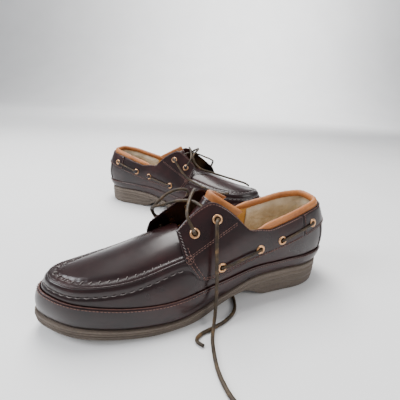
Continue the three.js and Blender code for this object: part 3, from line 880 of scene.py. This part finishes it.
LEFT_OUTER_END = [
    (144, 36, 98), (146, 42.5, 88), (147, 46.5, 74), (147, 49.5, 58), (147, 51.5, 42),
    (147.5, 53, 26), (149, 56, 11), (153, 63, 3.4), (157, 72, 2.2), (160, 84, 2), (162, 96, 2),
    (162, 108, 2), (160, 120, 2), (155, 132, 2), (147, 142, 2), (136, 148, 2), (124, 148, 2),
]
LEFT_INNER_END = [
    (152, -34, 104), (163, -36, 106), (175, -37, 101), (185, -38, 92), (190, -42, 82),
    (186, -49, 72), (174, -54, 62), (158, -55, 50), (142, -53, 36), (126, -52, 22),
    (115, -50, 9), (111, -43, 3), (110, -30, 2.2), (111, -14, 2.2), (113, 2, 2.2),
    (115, 18, 2.2), (118, 34, 2.2), (124, 47, 2.2), (136, 55, 2), (150, 59, 2), (164, 62, 2),
    (170, 67, 2), (166, 74, 2),
]
RIGHT_OUTER_END = [
    (146, 36, 97), (154, 38.5, 88), (163, 41.5, 79), (175, 43, 70.5), (190, 44, 64.5),
    (206, 45, 60), (222, 45, 57), (236, 43.5, 55), (247, 43, 57),
]
RIGHT_INNER_END = [
    (150, -32, 101), (160, -26, 108), (168, -16, 112), (170, -4, 110), (168, 8, 104),
    (172, 14, 95), (180, 14, 86), (190, 10, 80), (201, 5, 76.5), (214, 1, 72.8),
    (228, -4, 68.6), (241, -10, 64.4), (252, -17, 60), (260, -24, 56), (266, -31, 50),
]
EYELET_TOP = 1.6
LACE_SECTION = (12, 3.2, 0.02)  # sides, squareness and unevenness of a lace


def flap_eyelet_normal(quarter, column, height, step=0.02):
    ups = quarter_column(quarter, column, np.array([height - step, height + step]), False)
    before = quarter_column(quarter, column - step, np.array([height]), False)[0]
    after = quarter_column(quarter, column + step, np.array([height]), False)[0]
    return unit(np.cross(ups[1] - ups[0], after - before)) * quarter["side"]


def smooth_path(points, spacing):
    """A smooth curve through given points, evened out."""
    points = np.asarray(points, float)
    dense = spline(points, np.linspace(0, 1, 40 * len(points)))
    return even_points(dense, spacing)


def add_lace_end(shoe, quarter, route):
    """A free end: up through its eyelet, out of the mouth and along its route."""
    place = FLAP_EYELETS[quarter["name"]][0]
    point = flap_eyelet_point(quarter, *place)
    normal = flap_eyelet_normal(quarter, *place)
    lead = [point + normal * height for height in (-1.0, EYELET_TOP, EYELET_TOP + 3)]
    path = smooth_path([*lead, *route], 1.6)
    shape = tube(path, LACE_DIAMETER * 1.04, LACE_DIAMETER * 0.88, *LACE_SECTION)
    name = f"{quarter['name']}_lace_end"
    piece = shoe.add(name, shape, RAWHIDE, replaces=[name])
    placed = shoe.to_part(path)


add_lace_end(LEFT, OUTER, LEFT_OUTER_END)
add_lace_end(LEFT, INNER, LEFT_INNER_END)
add_lace_end(RIGHT, OUTER, RIGHT_OUTER_END)
add_lace_end(RIGHT, INNER, RIGHT_INNER_END)

# --- The upper's leather ---

AROUND = np.arange(220) / 220


def vamp_edge(u):
    """The vamp's top: under the quarters at the sides, at the ridge round the toes."""
    ahead = ease(station_from_heel(u), 5.2, 5.9)
    ridge = spline(TOP_RING, u, True)[..., 2]
    return height_on_skin(u, lambda x: lerp(band_height(x) + 4.5, ridge, ahead))


def patch(columns, rows, low, high, depth):
    """A grid on the skin between two edges, given as v at each column."""
    rows = np.asarray(rows)[:, None]
    v = lerp(np.asarray(low)[None], np.asarray(high)[None], rows)
    u = np.broadcast_to(np.asarray(columns)[None], v.shape)
    return layer(u, v, depth)


def down_from_top(grid):
    """How far each grid point lies below the top row, measured along the surface."""
    steps = np.linalg.norm(np.diff(grid[::-1], axis=0), axis=-1)
    return np.concatenate([np.zeros((1, grid.shape[1])), np.cumsum(steps, axis=0)])[::-1]


def ridge_line(u):
    """The seam between the wall and the apron, on the top edge of the skin."""
    return layer(u, 1.0, VAMP_DEPTH)


RIDGE = ridge_line(AROUND)
RIDGE_INSET = 0.5
WALL_SEAM_DROP = 8.2
APRON_SEAM_INSET = 6.2
APRON_SEAM_END = 184
MOC_START = 5.75


def ridge_place(points):
    """For each point: how far the seam ridge is, and how far along the ridge that is."""
    dense = ridge_line(np.linspace(0.2, 0.8, 900))
    along = arc_lengths(dense)
    flat = points.reshape(-1, 3)
    distance = np.empty(len(flat))
    place = np.empty(len(flat))
    for start in range(0, len(flat), 2000):
        block = flat[start:start + 2000]
        gaps = np.linalg.norm(block[:, None] - dense[None], axis=-1)
        nearest = gaps.argmin(axis=1)
        distance[start:start + 2000] = gaps[np.arange(len(block)), nearest]
        place[start:start + 2000] = along[nearest]
    return distance.reshape(points.shape[:-1]), place.reshape(points.shape[:-1])


def vamp_surface():
    """The wall of the vamp, gathered into a puckered ridge where it meets the apron."""
    rows = np.concatenate([np.linspace(0, 0.55, 9)[:-1], np.linspace(0.55, 0.985, 24), [1.0]])
    top = vamp_edge(AROUND)
    grid = patch(AROUND, rows, 0 * top, top, VAMP_DEPTH)
    below = down_from_top(grid)
    front = ease(station_from_heel(AROUND), MOC_START - 0.5, MOC_START + 0.3)[None]
    place = arc_lengths(np.vstack([RIDGE, RIDGE[:1]]))[:-1][None]
    wave = np.cos(place * 2 * math.pi / PUCKER_PITCH)
    fold = 0.8 * hill(below, 3.2, 3.0) - (0.75 + 0.2 * wave) * hill(below, WALL_SEAM_DROP, 1.5)
    fold += 0.08 * wave * hill(below, 5.0, 3.5)
    return grid + grid_normals(grid, True) * (fold * front)[..., None]


def apron_surface():
    """The plug over the toes: a raised puckered rim, a stitched groove and a low dome."""
    reaches = np.concatenate([np.linspace(0.04, 0.8, 16)[:-1], np.linspace(0.8, 4.25, 66)])
    across = (1 - np.cos(np.linspace(0, math.pi, 46))) / 2
    sides = []
    for side in (1, -1):
        u = 0.5 + side * reaches / STATIONS
        sides.append(ridge_line(u) + inwards_of(ring_tangent(TOP_RING, u)) * RIDGE_INSET)
    weight = across[:, None, None]
    grid = lerp(sides[0][None], sides[1][None], weight)
    rise = np.sin(np.clip((290 - grid[..., 0]) / 73, 0, math.pi / 2))
    grid[..., 2] += APRON_CROWN * rise * 4 * across[:, None] * (1 - across[:, None])
    distance, place = ridge_place(grid)
    wave = np.cos(place * 2 * math.pi / PUCKER_PITCH)
    fold = 0.3 * hill(distance, 1.5, 2.2) - (0.85 + 0.2 * wave) * hill(distance, 6.4, 1.8)
    fold += 0.08 * wave * hill(distance, 3.5, 2.4)
    grid[..., 2] += fold
    return grid


HEEL_PATCH_THICKNESS = 1.2
HEEL_PATCH_FOOT = 38.0


def heel_patch_surface():
    """A small leather patch under the band, in the middle of the heel."""
    stations = np.linspace(-1.2, 1.2, 24) / STATIONS
    low = height_on_skin(stations, lambda x: HEEL_PATCH_FOOT)
    return patch(stations, edge_rows(8), low, band_edge(stations) + 0.01, 1.0)


def cut_holes(shoe, piece, seats):
    """Cuts a real hole through a sheet of leather at each eyelet's seat."""
    cutters = []
    for seat, normal in seats:
        path = np.array([seat - normal * 5, seat + normal * 4])
        cutters.append(tube(path, 2 * HOLE_RADIUS, sides=20))
    cutter = shoe.make_object("cutters", *join(cutters))
    modifier = piece.modifiers.new("holes", "BOOLEAN")
    modifier.operation = "DIFFERENCE"
    modifier.solver = "EXACT"
    modifier.object = cutter
    bpy.context.view_layer.update()
    depsgraph = bpy.context.evaluated_depsgraph_get()
    cut = bpy.data.meshes.new_from_object(piece.evaluated_get(depsgraph))
    piece.modifiers.clear()
    piece.data = cut
    bpy.data.objects.remove(cutter)
    cut.shade_smooth()


# --- Eyelets ---

EYELET_PROFILE = [
    (2.35, -1.9), (2.35, -0.2), (2.55, 0.55), (3.1, 0.95), (3.9, 0.95), (4.7, 0.55),
    (5.0, 0.1), (4.7, -0.15), (3.3, -0.3), (3.1, -1.9),
]
EYELET_SEGMENTS = 48
EYELET_RIBS = 16
EYELET_RIB_DEPTH = 0.12
HOLE_RADIUS = 3.05


def lathe(seat, normal, profile):
    """A ribbed ring turned about a normal: profile points are (radius, height)."""
    side = unit(np.cross(normal, (0.0, 0.3, 1.0)))
    other = np.cross(normal, side)
    sections = []
    for angle in np.arange(EYELET_SEGMENTS) * 2 * math.pi / EYELET_SEGMENTS:
        spoke = side * math.cos(angle) + other * math.sin(angle)
        lift = EYELET_RIB_DEPTH * math.cos(angle * EYELET_RIBS)
        for radius, height in profile:
            on_rim = 2.9 < radius < 4.8 and height > 0.2
            sections.append(seat + spoke * radius + normal * (height + on_rim * lift))
    return np.array(sections), flipped(section_faces(EYELET_SEGMENTS, len(profile), True))


def seats_of(quarter):
    """Seats of one side's eyelets: four on the side, then the two on the flap."""
    seats = []
    for x, z in SIDE_EYELETS:
        seats.append(side_eyelet_point(quarter, x, z))
    for place in FLAP_EYELETS[quarter["name"]]:
        point = flap_eyelet_point(quarter, *place)
        seats.append((point, flap_eyelet_normal(quarter, *place)))
    return seats


# --- Building one shoe ---


def add_vamp(shoe):
    grid = vamp_surface()
    shoe.add("vamp", slab(grid, UPPER_LEATHER, True), UPPER, replaces=["vamp"])
    below = down_from_top(grid)
    stations = station_from_heel(AROUND)
    wanted = np.where(stations > MOC_START)[0]
    rows = np.array([np.abs(below[:, column] - WALL_SEAM_DROP).argmin() for column in wanted])
    normals = grid_normals(grid, True)
    line = smooth_rows(grid[rows, wanted], 3, 0)
    stitches = stitch_row(line, normals[rows, wanted], *PUCKER_SEAM)
    shoe.sew("vamp_stitches", stitches, GREY_THREAD)


def add_apron(shoe):
    grid = apron_surface()
    shoe.add("apron", slab(grid, UPPER_LEATHER), UPPER, replaces=["apron"])
    ridge = ridge_line(np.linspace(0.3, 0.7, 500))
    rim = ridge + inwards_of(np.gradient(ridge, axis=0)) * APRON_SEAM_INSET
    surface = Surface(grid)
    places = even_points(rim, PUCKER_PITCH)
    stitches = []
    for index, place in enumerate(places[1:-1]):
        direction = unit(places[index + 2] - places[index])
        aside = unit(np.cross(direction, (0.0, 0.0, 1.0)))
        ends = [place - aside * 2.4 + direction * 0.6, place + aside * 1.6 - direction * 0.6]
        seated = [surface.seat(end) for end in ends]
        if seated[0][0][0] < APRON_SEAM_END:
            continue
        path = np.linspace(seated[0][0], seated[1][0], 5)
        up = unit(seated[0][1] + seated[1][1])
        path += up * (np.array([-0.3, 0.5, 0.7, 0.5, -0.3]) * 0.9)[:, None]
        stitches.append(tube(path, 0.8, sides=6))
    shoe.sew("apron_stitches", stitches, GREY_THREAD)
    add_ridge(shoe)


def add_ridge(shoe):
    """The rolled crest where the wall and the apron are sewn together."""
    first = MOC_START + 0.05
    line = ridge_line(np.linspace(first, STATIONS - first, 420) / STATIONS)
    inwards = inwards_of(np.gradient(line, axis=0))
    line = even_points(line + inwards * RIDGE_INSET + np.array([0, 0, 0.1]), 1.2)
    shoe.add("ridge", tube(line, 2.0, 1.9, wobble=0.01), UPPER)


def add_mudguard(shoe):
    """The strip of leather round the foot, just above the sole."""
    rows = np.concatenate([[0.0], np.linspace(0.08, 0.9, 8), [0.96, 1.0]])
    top = mudguard_edge(AROUND)
    grid = patch(AROUND, rows, 0 * top, top, 0.0)
    swell = 0.9 * np.sin(np.clip(rows, 0, 1) * math.pi)[:, None, None]
    grid = grid + grid_normals(grid, True) * swell * np.array([1.0, 1.0, 0.0])
    shoe.add("mudguard", slab(grid, MUDGUARD_THICKNESS, True), UPPER, replaces=["mudguard"])
    normals = grid_normals(grid, True)
    line = lerp(grid[-3], grid[-2], 0.2)
    stitches = stitch_row(line, normals[-3], *GUARD_SEAM)
    shoe.sew("mudguard_stitches", stitches, RED_THREAD)
    edge = grid[-1] - normals[-1] * 0.75
    shoe.add("mudguard_edge", loop_tube(edge, 1.15, 0.5), CUT_EDGE)


def loop_tube(line, width, height, sides=8):
    """A closed ring of cord along a closed line."""
    tangents = unit(np.roll(line, -1, axis=0) - np.roll(line, 1, axis=0))
    first = unit(np.cross(tangents, (0.0, 0.0, 1.0)))
    second = np.cross(first, tangents)
    angles = np.arange(sides) * 2 * math.pi / sides
    across = np.cos(angles)[None, :, None] * width / 2
    upward = np.sin(angles)[None, :, None] * height / 2
    sections = line[:, None] + first[:, None] * across + second[:, None] * upward
    return sections.reshape(-1, 3), section_faces(len(line), sides, True)


def add_quarter(shoe, quarter):
    name = f"{quarter['name']}_quarter"
    grid = quarter_surface(quarter)
    surface = Surface(grid)
    piece = shoe.add(name, slab(grid, LEATHER), UPPER, replaces=[name])
    seats = seats_of(quarter)
    cut_holes(shoe, piece, seats[1:])
    add_quarter_stitches(shoe, quarter, surface)
    return seats


BOX_STITCH_RADIUS = 3.6


def box_stitch(surface, place):
    """The round of stitches with a cross in it that ends the seam at the flap's corner."""
    centre, normal = surface.seat(place)
    side = unit(np.cross(normal, (0.0, 0.0, 1.0)))
    other = np.cross(normal, side)
    normals = np.repeat(normal[None], 49, axis=0)
    round_line = []
    for angle in np.linspace(0, 2 * math.pi, 49):
        spoke = side * math.cos(angle) + other * math.sin(angle)
        round_line.append(surface.seat(centre + spoke * BOX_STITCH_RADIUS)[0])
    stitches = stitch_row(np.array(round_line), normals, *ROUND_SEAM)
    for reach in (side + other, side - other):
        line = np.linspace(centre + reach * 2.0, centre - reach * 2.0, 12)
        stitches += stitch_row(line, normals[:12], *CROSS_SEAM, start=0.1)
    return stitches


def column_at(quarter, part):
    """The grid's fractional column at a part of the way from the heel to the flap's front."""
    return part if quarter["side"] > 0 else 1 - part


def add_quarter_stitches(shoe, quarter, surface):
    name = quarter["name"]
    run = np.linspace(0, 1, 240)
    stitches = []
    for height in (0.045, 0.085):
        stitches += surface.seam(height, column_at(quarter, 0.01 + run * 0.965), SEAM)
    for inset in (0.02, 0.045):
        rise = np.linspace(0.06, 0.654, 160)
        stitches += surface.seam(rise, column_at(quarter, 1 - inset), SEAM)
    stitches += surface.seam(0.965, column_at(quarter, 0.01 + run * 0.97), THIN_SEAM)
    side = quarter["side"]
    run_start = np.array([119.0, 32.0 * side, 91.0])
    run_end = np.array([171.5, 37.5 * side, 64.0])
    for shift in (0.0, 2.2):
        points = np.linspace(run_start, run_end, 90) + np.array([0, 0, shift])
        seated = [surface.seat(point) for point in points]
        line = smooth_rows(np.array([point for point, _ in seated]), 6, 0)
        normals = np.array([normal for _, normal in seated])
        stitches += stitch_row(line, normals, *THIN_SEAM)
    stitches += box_stitch(surface, run_end - np.array([2.5, 0, -0.5]))
    shoe.sew(f"{name}_quarter_stitches", stitches, RED_THREAD)
    rise = np.linspace(0.5, 0.97, 120)
    whip = surface.seam(rise, column_at(quarter, 0.975), WHIP_SEAM, slant=1.3)
    shoe.sew(f"{name}_flap_whip", whip, GREY_THREAD)


def add_heel(shoe, seats):
    """The band across the heel, with the eyelet that each side shares with it."""
    stations = np.linspace(-BAND_SEAM + 0.015, BAND_SEAM - 0.015, 60) / STATIONS
    top = top_edge_drop(stations, LEATHER_DROP)
    grid = patch(stations, edge_rows(10), band_edge(stations), top, 0.0)
    piece = shoe.add("heel_band", slab(grid, LEATHER), UPPER, replaces=["heel_band"])
    cut_holes(shoe, piece, [side_seats[0] for side_seats in seats])
    surface = Surface(grid)
    stitches = []
    for height in (0.08, 0.16, 0.95):
        stitches += surface.seam(height, np.linspace(0.01, 0.99, 160), SEAM)
    for place in (0.02, 0.98):
        stitches += surface.seam(np.linspace(0.1, 0.92, 60), place, SEAM)
    shoe.sew("heel_stitches", stitches, RED_THREAD)
    shoe.add("heel_patch", slab(heel_patch_surface(), HEEL_PATCH_THICKNESS), UPPER)


COLLAR_END = 3.98
COLLAR_SIDES = 20
COLLAR_SEAM_SIDE = 12


def add_collar(shoe):
    """The padded roll round the ankle: a soft tube, crowned above and pinched at its seam."""
    stations = np.linspace(-COLLAR_END, COLLAR_END, 170)
    u = stations / STATIONS
    top = spline(TOP_RING, u, True)
    inwards = inwards_of(ring_tangent(TOP_RING, u))
    ends = 0.45 + 0.55 * (1 - ease(np.abs(stations), 3.55, COLLAR_END))
    angles = (np.arange(COLLAR_SIDES) + 0.5) * 2 * math.pi / COLLAR_SIDES
    creases = 1 + 0.025 * np.sin(stations * 21) + 0.02 * np.sin(stations * 47 + 1.3)
    lower = skin(u, top_edge_drop(u, COLLAR_HEIGHT * 0.85))
    bulge = np.sum((top - lower) * inwards, axis=1)
    sections = []
    for index in range(len(stations)):
        size = ends[index] * creases[index]
        across = COLLAR_THICKNESS / 2 * (1 + np.cos(angles) * size)
        upward = COLLAR_HEIGHT * 0.47 * (np.sin(angles) * size - 1)
        foot = hill(np.sin(angles), -1, 0.75)
        across = across + (LEATHER - bulge[index]) * foot * (1 - across / COLLAR_THICKNESS)
        section = top[index] + inwards[index] * across[:, None]
        section[:, 2] += upward
        sections.append(section)
    sections = np.array(sections)
    faces = flipped(section_faces(len(stations), COLLAR_SIDES, False))
    piece = shoe.add("collar", (sections.reshape(-1, 3), faces), BINDING, replaces=["collar"])
    outline = sections[:, COLLAR_SEAM_SIDE]
    shoe.sew("collar_stitches", stitch_row(outline, -inwards, *SOFT_SEAM), GREY_THREAD)


def lining_edge(u):
    return lerp(top_edge_drop(u, LINING_TOP_DROP), 0.97, ease(station_from_heel(u), 3.8, 4.6))


def add_quarter_lining(shoe):
    """The lining from one side round the toe to the other, in one piece."""
    start = 3.25
    u = np.linspace(start, STATIONS - start, 120) / STATIONS
    rows = edge_rows(16)
    tuck = 2.2 * ease(rows, 0.84, 0.98)[:, None]
    grid = patch(u, rows, 0 * u + 0.02, lining_edge(u), LINING_DEPTH - tuck)
    shoe.add("quarter_lining", slab(grid, LINING_THICKNESS), LINING, replaces=["lining"])


def crinkles(rows, columns):
    """Soft creases over a grid, fading out at its four sides."""
    place = np.arange(columns)[None] * 0.23
    height = np.arange(len(rows))[:, None] * 0.42
    ripple = np.sin(1.7 * place + 2.2 * np.sin(1.1 * height)) * np.sin(1.3 * height + 0.9 * place)
    ripple += 0.6 * np.sin(3.1 * place - 1.9 * height + 1.5 * np.sin(0.7 * place))
    inside = ease(rows, 0.03, 0.15)[:, None] * (1 - ease(rows, 0.8, 0.92))[:, None]
    ends = np.minimum(np.arange(columns), np.arange(columns)[::-1])[None] / 10
    return 0.5 * ripple * inside * np.clip(ends, 0, 1)


def add_heel_lining(shoe):
    """The pale crinkled piece round the back of the heel, over the rest of the lining."""
    end = 3.5
    u = np.linspace(-end, end, 180) / STATIONS
    rows = edge_rows(43)
    tuck = 3.4 * ease(rows, 0.84, 0.98)[:, None]
    top = top_edge_drop(u, LINING_TOP_DROP)
    grid = patch(u, rows, 0 * u + 0.02, top, LINING_DEPTH + 1.3 - tuck)
    grid = grid + grid_normals(grid, False) * crinkles(rows, len(u))[..., None]
    shoe.add("heel_lining", slab(grid, 0.9), HEEL_LINING, replaces=["lining"])


def stacked(rings):
    """A solid stacked from rings of equal counts, flat at its two ends."""
    levels, count = rings.shape[:2]
    faces = []
    for low in range(0, (levels - 1) * count, count):
        for index in range(count):
            after = (index + 1) % count
            faces.append((low + index, low + after, low + count + after, low + count + index))
    faces.append(tuple(reversed(range(count))))
    faces.append(tuple((levels - 1) * count + index for index in range(count)))
    return rings.reshape(-1, 3), faces


def add_footbed(shoe):
    rim = sole_outline(np.arange(160) / 160, -FOOTBED_DEPTH)
    middle = 145.0
    rings = []
    for share, lift in ((1.0, 0.3), (1.0, 3.6), (0.97, 4.3), (0.85, 4.2), (0.6, 3.9), (0.25, 3.8)):
        shrunk = middle + (rim[:, 0] - middle) * 0.72
        x = lerp(shrunk, rim[:, 0], share)
        rings.append(np.stack([x, rim[:, 1] * share, rim[:, 2] + lift], axis=1))
    shoe.add("footbed", stacked(np.array(rings)), SOCK, replaces=["footbed"])


TONGUE_LINE = [
    (184, 0, 71.5), (174, 0, 75), (165, 0, 83), (156, 0, 94), (147, 0, 106), (140.5, 0, 117),
]


def tongue_grid(rows, columns, reach_end, spread, lift):
    """Rows across the foot by columns up the tongue, as in the CAD model."""
    across = np.linspace(0, 1, rows)[:, None]
    reach = np.linspace(0, reach_end, columns)[None]
    side = 2 * across - 1
    line = spline(TONGUE_LINE, reach[0])[None]
    grid = np.repeat(line, rows, axis=0)
    grid[..., 0] -= lerp(5, 30, reach) * side**2
    grid[..., 1] += lerp(21, 22.5, reach) * spread * side
    grid[..., 2] -= lerp(8, 18, reach) * side**2
    return grid + grid_normals(grid, False) * lift


def add_tongue(shoe):
    """A tan padded tongue with a leather facing sewn on its front."""
    grid = tongue_grid(40, 48, 1.0, 1.0, -1.3)
    normals = grid_normals(grid, False)
    side = np.linspace(-1, 1, 40)[:, None]
    reach = np.linspace(0, 1, 48)[None]
    swell = (1 - side**6) * (0.55 + 0.45 * np.sin(reach * math.pi))
    roll = 1.4 * ease(reach, 0.86, 0.95) * (1 - side**4)
    front = grid + normals * (0.5 * roll)[..., None]
    thickness = 2.0 + 1.7 * swell + roll
    piece = shoe.add("tongue_pad", slab(front, thickness), BINDING, shoe.tongue_body,
                     ["tongue"])
    grid = tongue_grid(40, 44, 0.87, 0.94, 0.0)
    shoe.add("tongue_facing", slab(grid, 1.1), UPPER, shoe.tongue_body, ["tongue"])
    stitches = Surface(grid).seam(np.linspace(0.03, 0.97, 120), 0.955, SOFT_SEAM)
    shoe.sew("tongue_stitches", stitches, RED_THREAD, shoe.tongue_body)


def ringed_solid(profile, count=360):
    """Outlines of the sole, stacked; a profile entry is an outset and a height function."""
    around = np.arange(count) / count
    base = spline(SOLE_RING, around, True)
    rings = []
    for outset, height in profile:
        shift = outset(around, base) if callable(outset) else np.full(count, float(outset))
        ring = sole_outline(around, shift)
        ring[:, 2] = height(ring[:, 0], base[:, 2])
        rings.append(ring)
    return stacked(np.array(rings))


def add_sole(shoe):
    """The midsole with its groove, and the outsole with a ribbed front edge."""
    def share(part):
        return lambda x, z: z - midsole_depth(x) * (1 - part) - OUTSOLE_GAP * part

    midsole = [
        (0.6, share(0.0)), (1.7, share(0.02)), (2.1, share(0.12)), (1.9, share(0.3)),
        (0.6, share(0.38)), (0.6, share(0.44)), (1.7, share(0.5)), (1.75, share(0.8)),
        (1.5, share(0.94)), (1.0, share(1.0)), (-4.0, share(1.0)),
    ]
    shoe.add("midsole", ringed_solid(midsole), MIDSOLE_RUBBER, replaces=["midsole"])

    line = spline(SOLE_RING, np.linspace(0, 1, 721), True)
    lengths = arc_lengths(line)

    def ribbed(base_outset, strength):
        def outset(around, base):
            place = np.interp(around, np.linspace(0, 1, 721), lengths)
            front = ease(base[:, 0], 168, 200)
            return base_outset + strength * front * np.cos(place * 2 * math.pi / 2.4)
        return outset

    def level(part):
        return lambda x, z: lerp(tread_height(x) + 1.0, z - midsole_depth(x) - OUTSOLE_GAP, part)

    outsole = [
        (-2.0, level(0.0)), (-0.2, level(0.0)), (ribbed(0.8, 0.35), level(0.06)),
        (ribbed(1.3, 0.4), level(0.25)), (ribbed(1.4, 0.4), level(0.42)),
        (0.5, level(0.47)), (0.45, level(0.52)), (1.7, level(0.57)), (1.75, level(0.76)),
        (0.6, level(0.81)), (0.6, level(0.86)), (1.6, level(0.91)), (1.2, level(1.0)),
        (-4.0, level(1.0)),
    ]
    shoe.add("outsole", ringed_solid(outsole, 900), OUTSOLE_RUBBER, replaces=["outsole"])
    add_tread(shoe)


SIPE_WAVE = 16
SIPE_PITCH = 6.5
SIPE_DEPTH = 1.3


def add_tread(shoe):
    """The walking surface: wavy siped bars across the sole."""
    around = np.linspace(0, 1, 1600)
    rim = sole_outline(around, -0.6)
    xs = np.linspace(rim[:, 0].min() + 0.8, rim[:, 0].max() - 0.8, 330)
    outer = rim[around < 0.5]
    inner = rim[around >= 0.5][::-1]
    outer = outer[np.argsort(outer[:, 0])]
    inner = inner[np.argsort(inner[:, 0])]
    high = np.interp(xs, outer[:, 0], outer[:, 1])
    low = np.interp(xs, inner[:, 0], inner[:, 1])
    across = np.linspace(0, 1, 30)[:, None]
    y = lerp(low[None], high[None], across)
    x = np.repeat(xs[None], 30, axis=0)
    wave = x + 2.0 * np.sin(y * 2 * math.pi / SIPE_WAVE)
    cut = hill((wave % SIPE_PITCH) - SIPE_PITCH / 2, 0, 0.75)
    edge = np.minimum(y - low[None], high[None] - y)
    cut = cut * ease(edge, 2.0, 3.5)
    z = tread_height(x) + SIPE_DEPTH * cut
    grid = np.stack([x, y, z], axis=-1)
    shoe.add("tread", slab(grid, 2.2), OUTSOLE_RUBBER)


def add_eyelets(shoe, quarter, seats):
    names = [f"{quarter['name']}_side_eyelet_{index}" for index in range(1, 5)]
    names += [f"{quarter['name']}_flap_eyelet_{index}" for index in (1, 2)]
    for name, (seat, normal) in zip(names, seats):
        shoe.add(name, lathe(seat, normal, EYELET_PROFILE), COPPER, replaces=[name])


SIDE_LACE_LIFT = 1.9
SIDE_LACE_ARCH = 0.5
SIDE_LACE_WIDTH = 2.5


def through(seat, *heights):
    """Points on an eyelet's axis, at heights over the leather."""
    place, normal = seat
    return [place + normal * height for height in heights]


def add_lace(shoe, name, path, replaces=(), width=LACE_DIAMETER * 1.04):
    shoe.add(name, tube(path, width, width * 0.84, *LACE_SECTION), RAWHIDE, replaces=replaces)


def add_side_laces(shoe, quarter, seats):
    """Two short runs of lace, each out of one eyelet, over the leather and into the next."""
    for place, first in (("rear", 0), ("front", 2)):
        start, end = seats[first], seats[first + 1]
        gap = end[0] - start[0]
        up = unit(start[1] + end[1])
        points = through(start, -2.5, 1.2)
        points.append(start[0] + gap * 0.10 + up * SIDE_LACE_LIFT)
        for part in (0.3, 0.5, 0.7):
            points.append(start[0] + gap * part + up * (SIDE_LACE_LIFT + SIDE_LACE_ARCH))
        points.append(end[0] - gap * 0.10 + up * SIDE_LACE_LIFT)
        points += through(end, 1.2, -2.5)
        name = f"{quarter['name']}_side_lace_{place}"
        add_lace(shoe, name, smooth_path(points, 1.2), [name], SIDE_LACE_WIDTH)


def add_instep_laces(shoe, outer_seats, inner_seats):
    """Two runs of lace that cross the tongue from one flap to the other."""
    lower = [
        *through(outer_seats[5], -2.5, 2.6),
        (163, 24, 88), (166, 14, 99), (158, -4, 108), (150, -16, 112),
        *through(inner_seats[4], 2.5, -2.5),
    ]
    upper = [
        *through(outer_seats[4], -2.5),
        (147.5, 14, 101.5), (156, 0, 105.5), (168, -10, 103.5), (181, -20, 97), (190, -27, 92),
        (192, -33, 86),
        *through(inner_seats[5], 2.6, -2.5),
    ]
    add_lace(shoe, "instep_lace_lower", smooth_path(lower, 1.2))
    add_lace(shoe, "instep_lace_upper", smooth_path(upper, 1.2))


def build_shoe(shoe):
    add_vamp(shoe)
    add_apron(shoe)
    add_mudguard(shoe)
    seats = {quarter["name"]: add_quarter(shoe, quarter) for quarter in QUARTERS}
    add_heel(shoe, list(seats.values()))
    add_collar(shoe)
    add_quarter_lining(shoe)
    add_heel_lining(shoe)
    add_footbed(shoe)
    add_tongue(shoe)
    add_sole(shoe)
    for quarter in QUARTERS:
        add_eyelets(shoe, quarter, seats[quarter["name"]])
        add_side_laces(shoe, quarter, seats[quarter["name"]])
    add_instep_laces(shoe, seats["outer"], seats["inner"])


build_shoe(LEFT)
build_shoe(RIGHT)
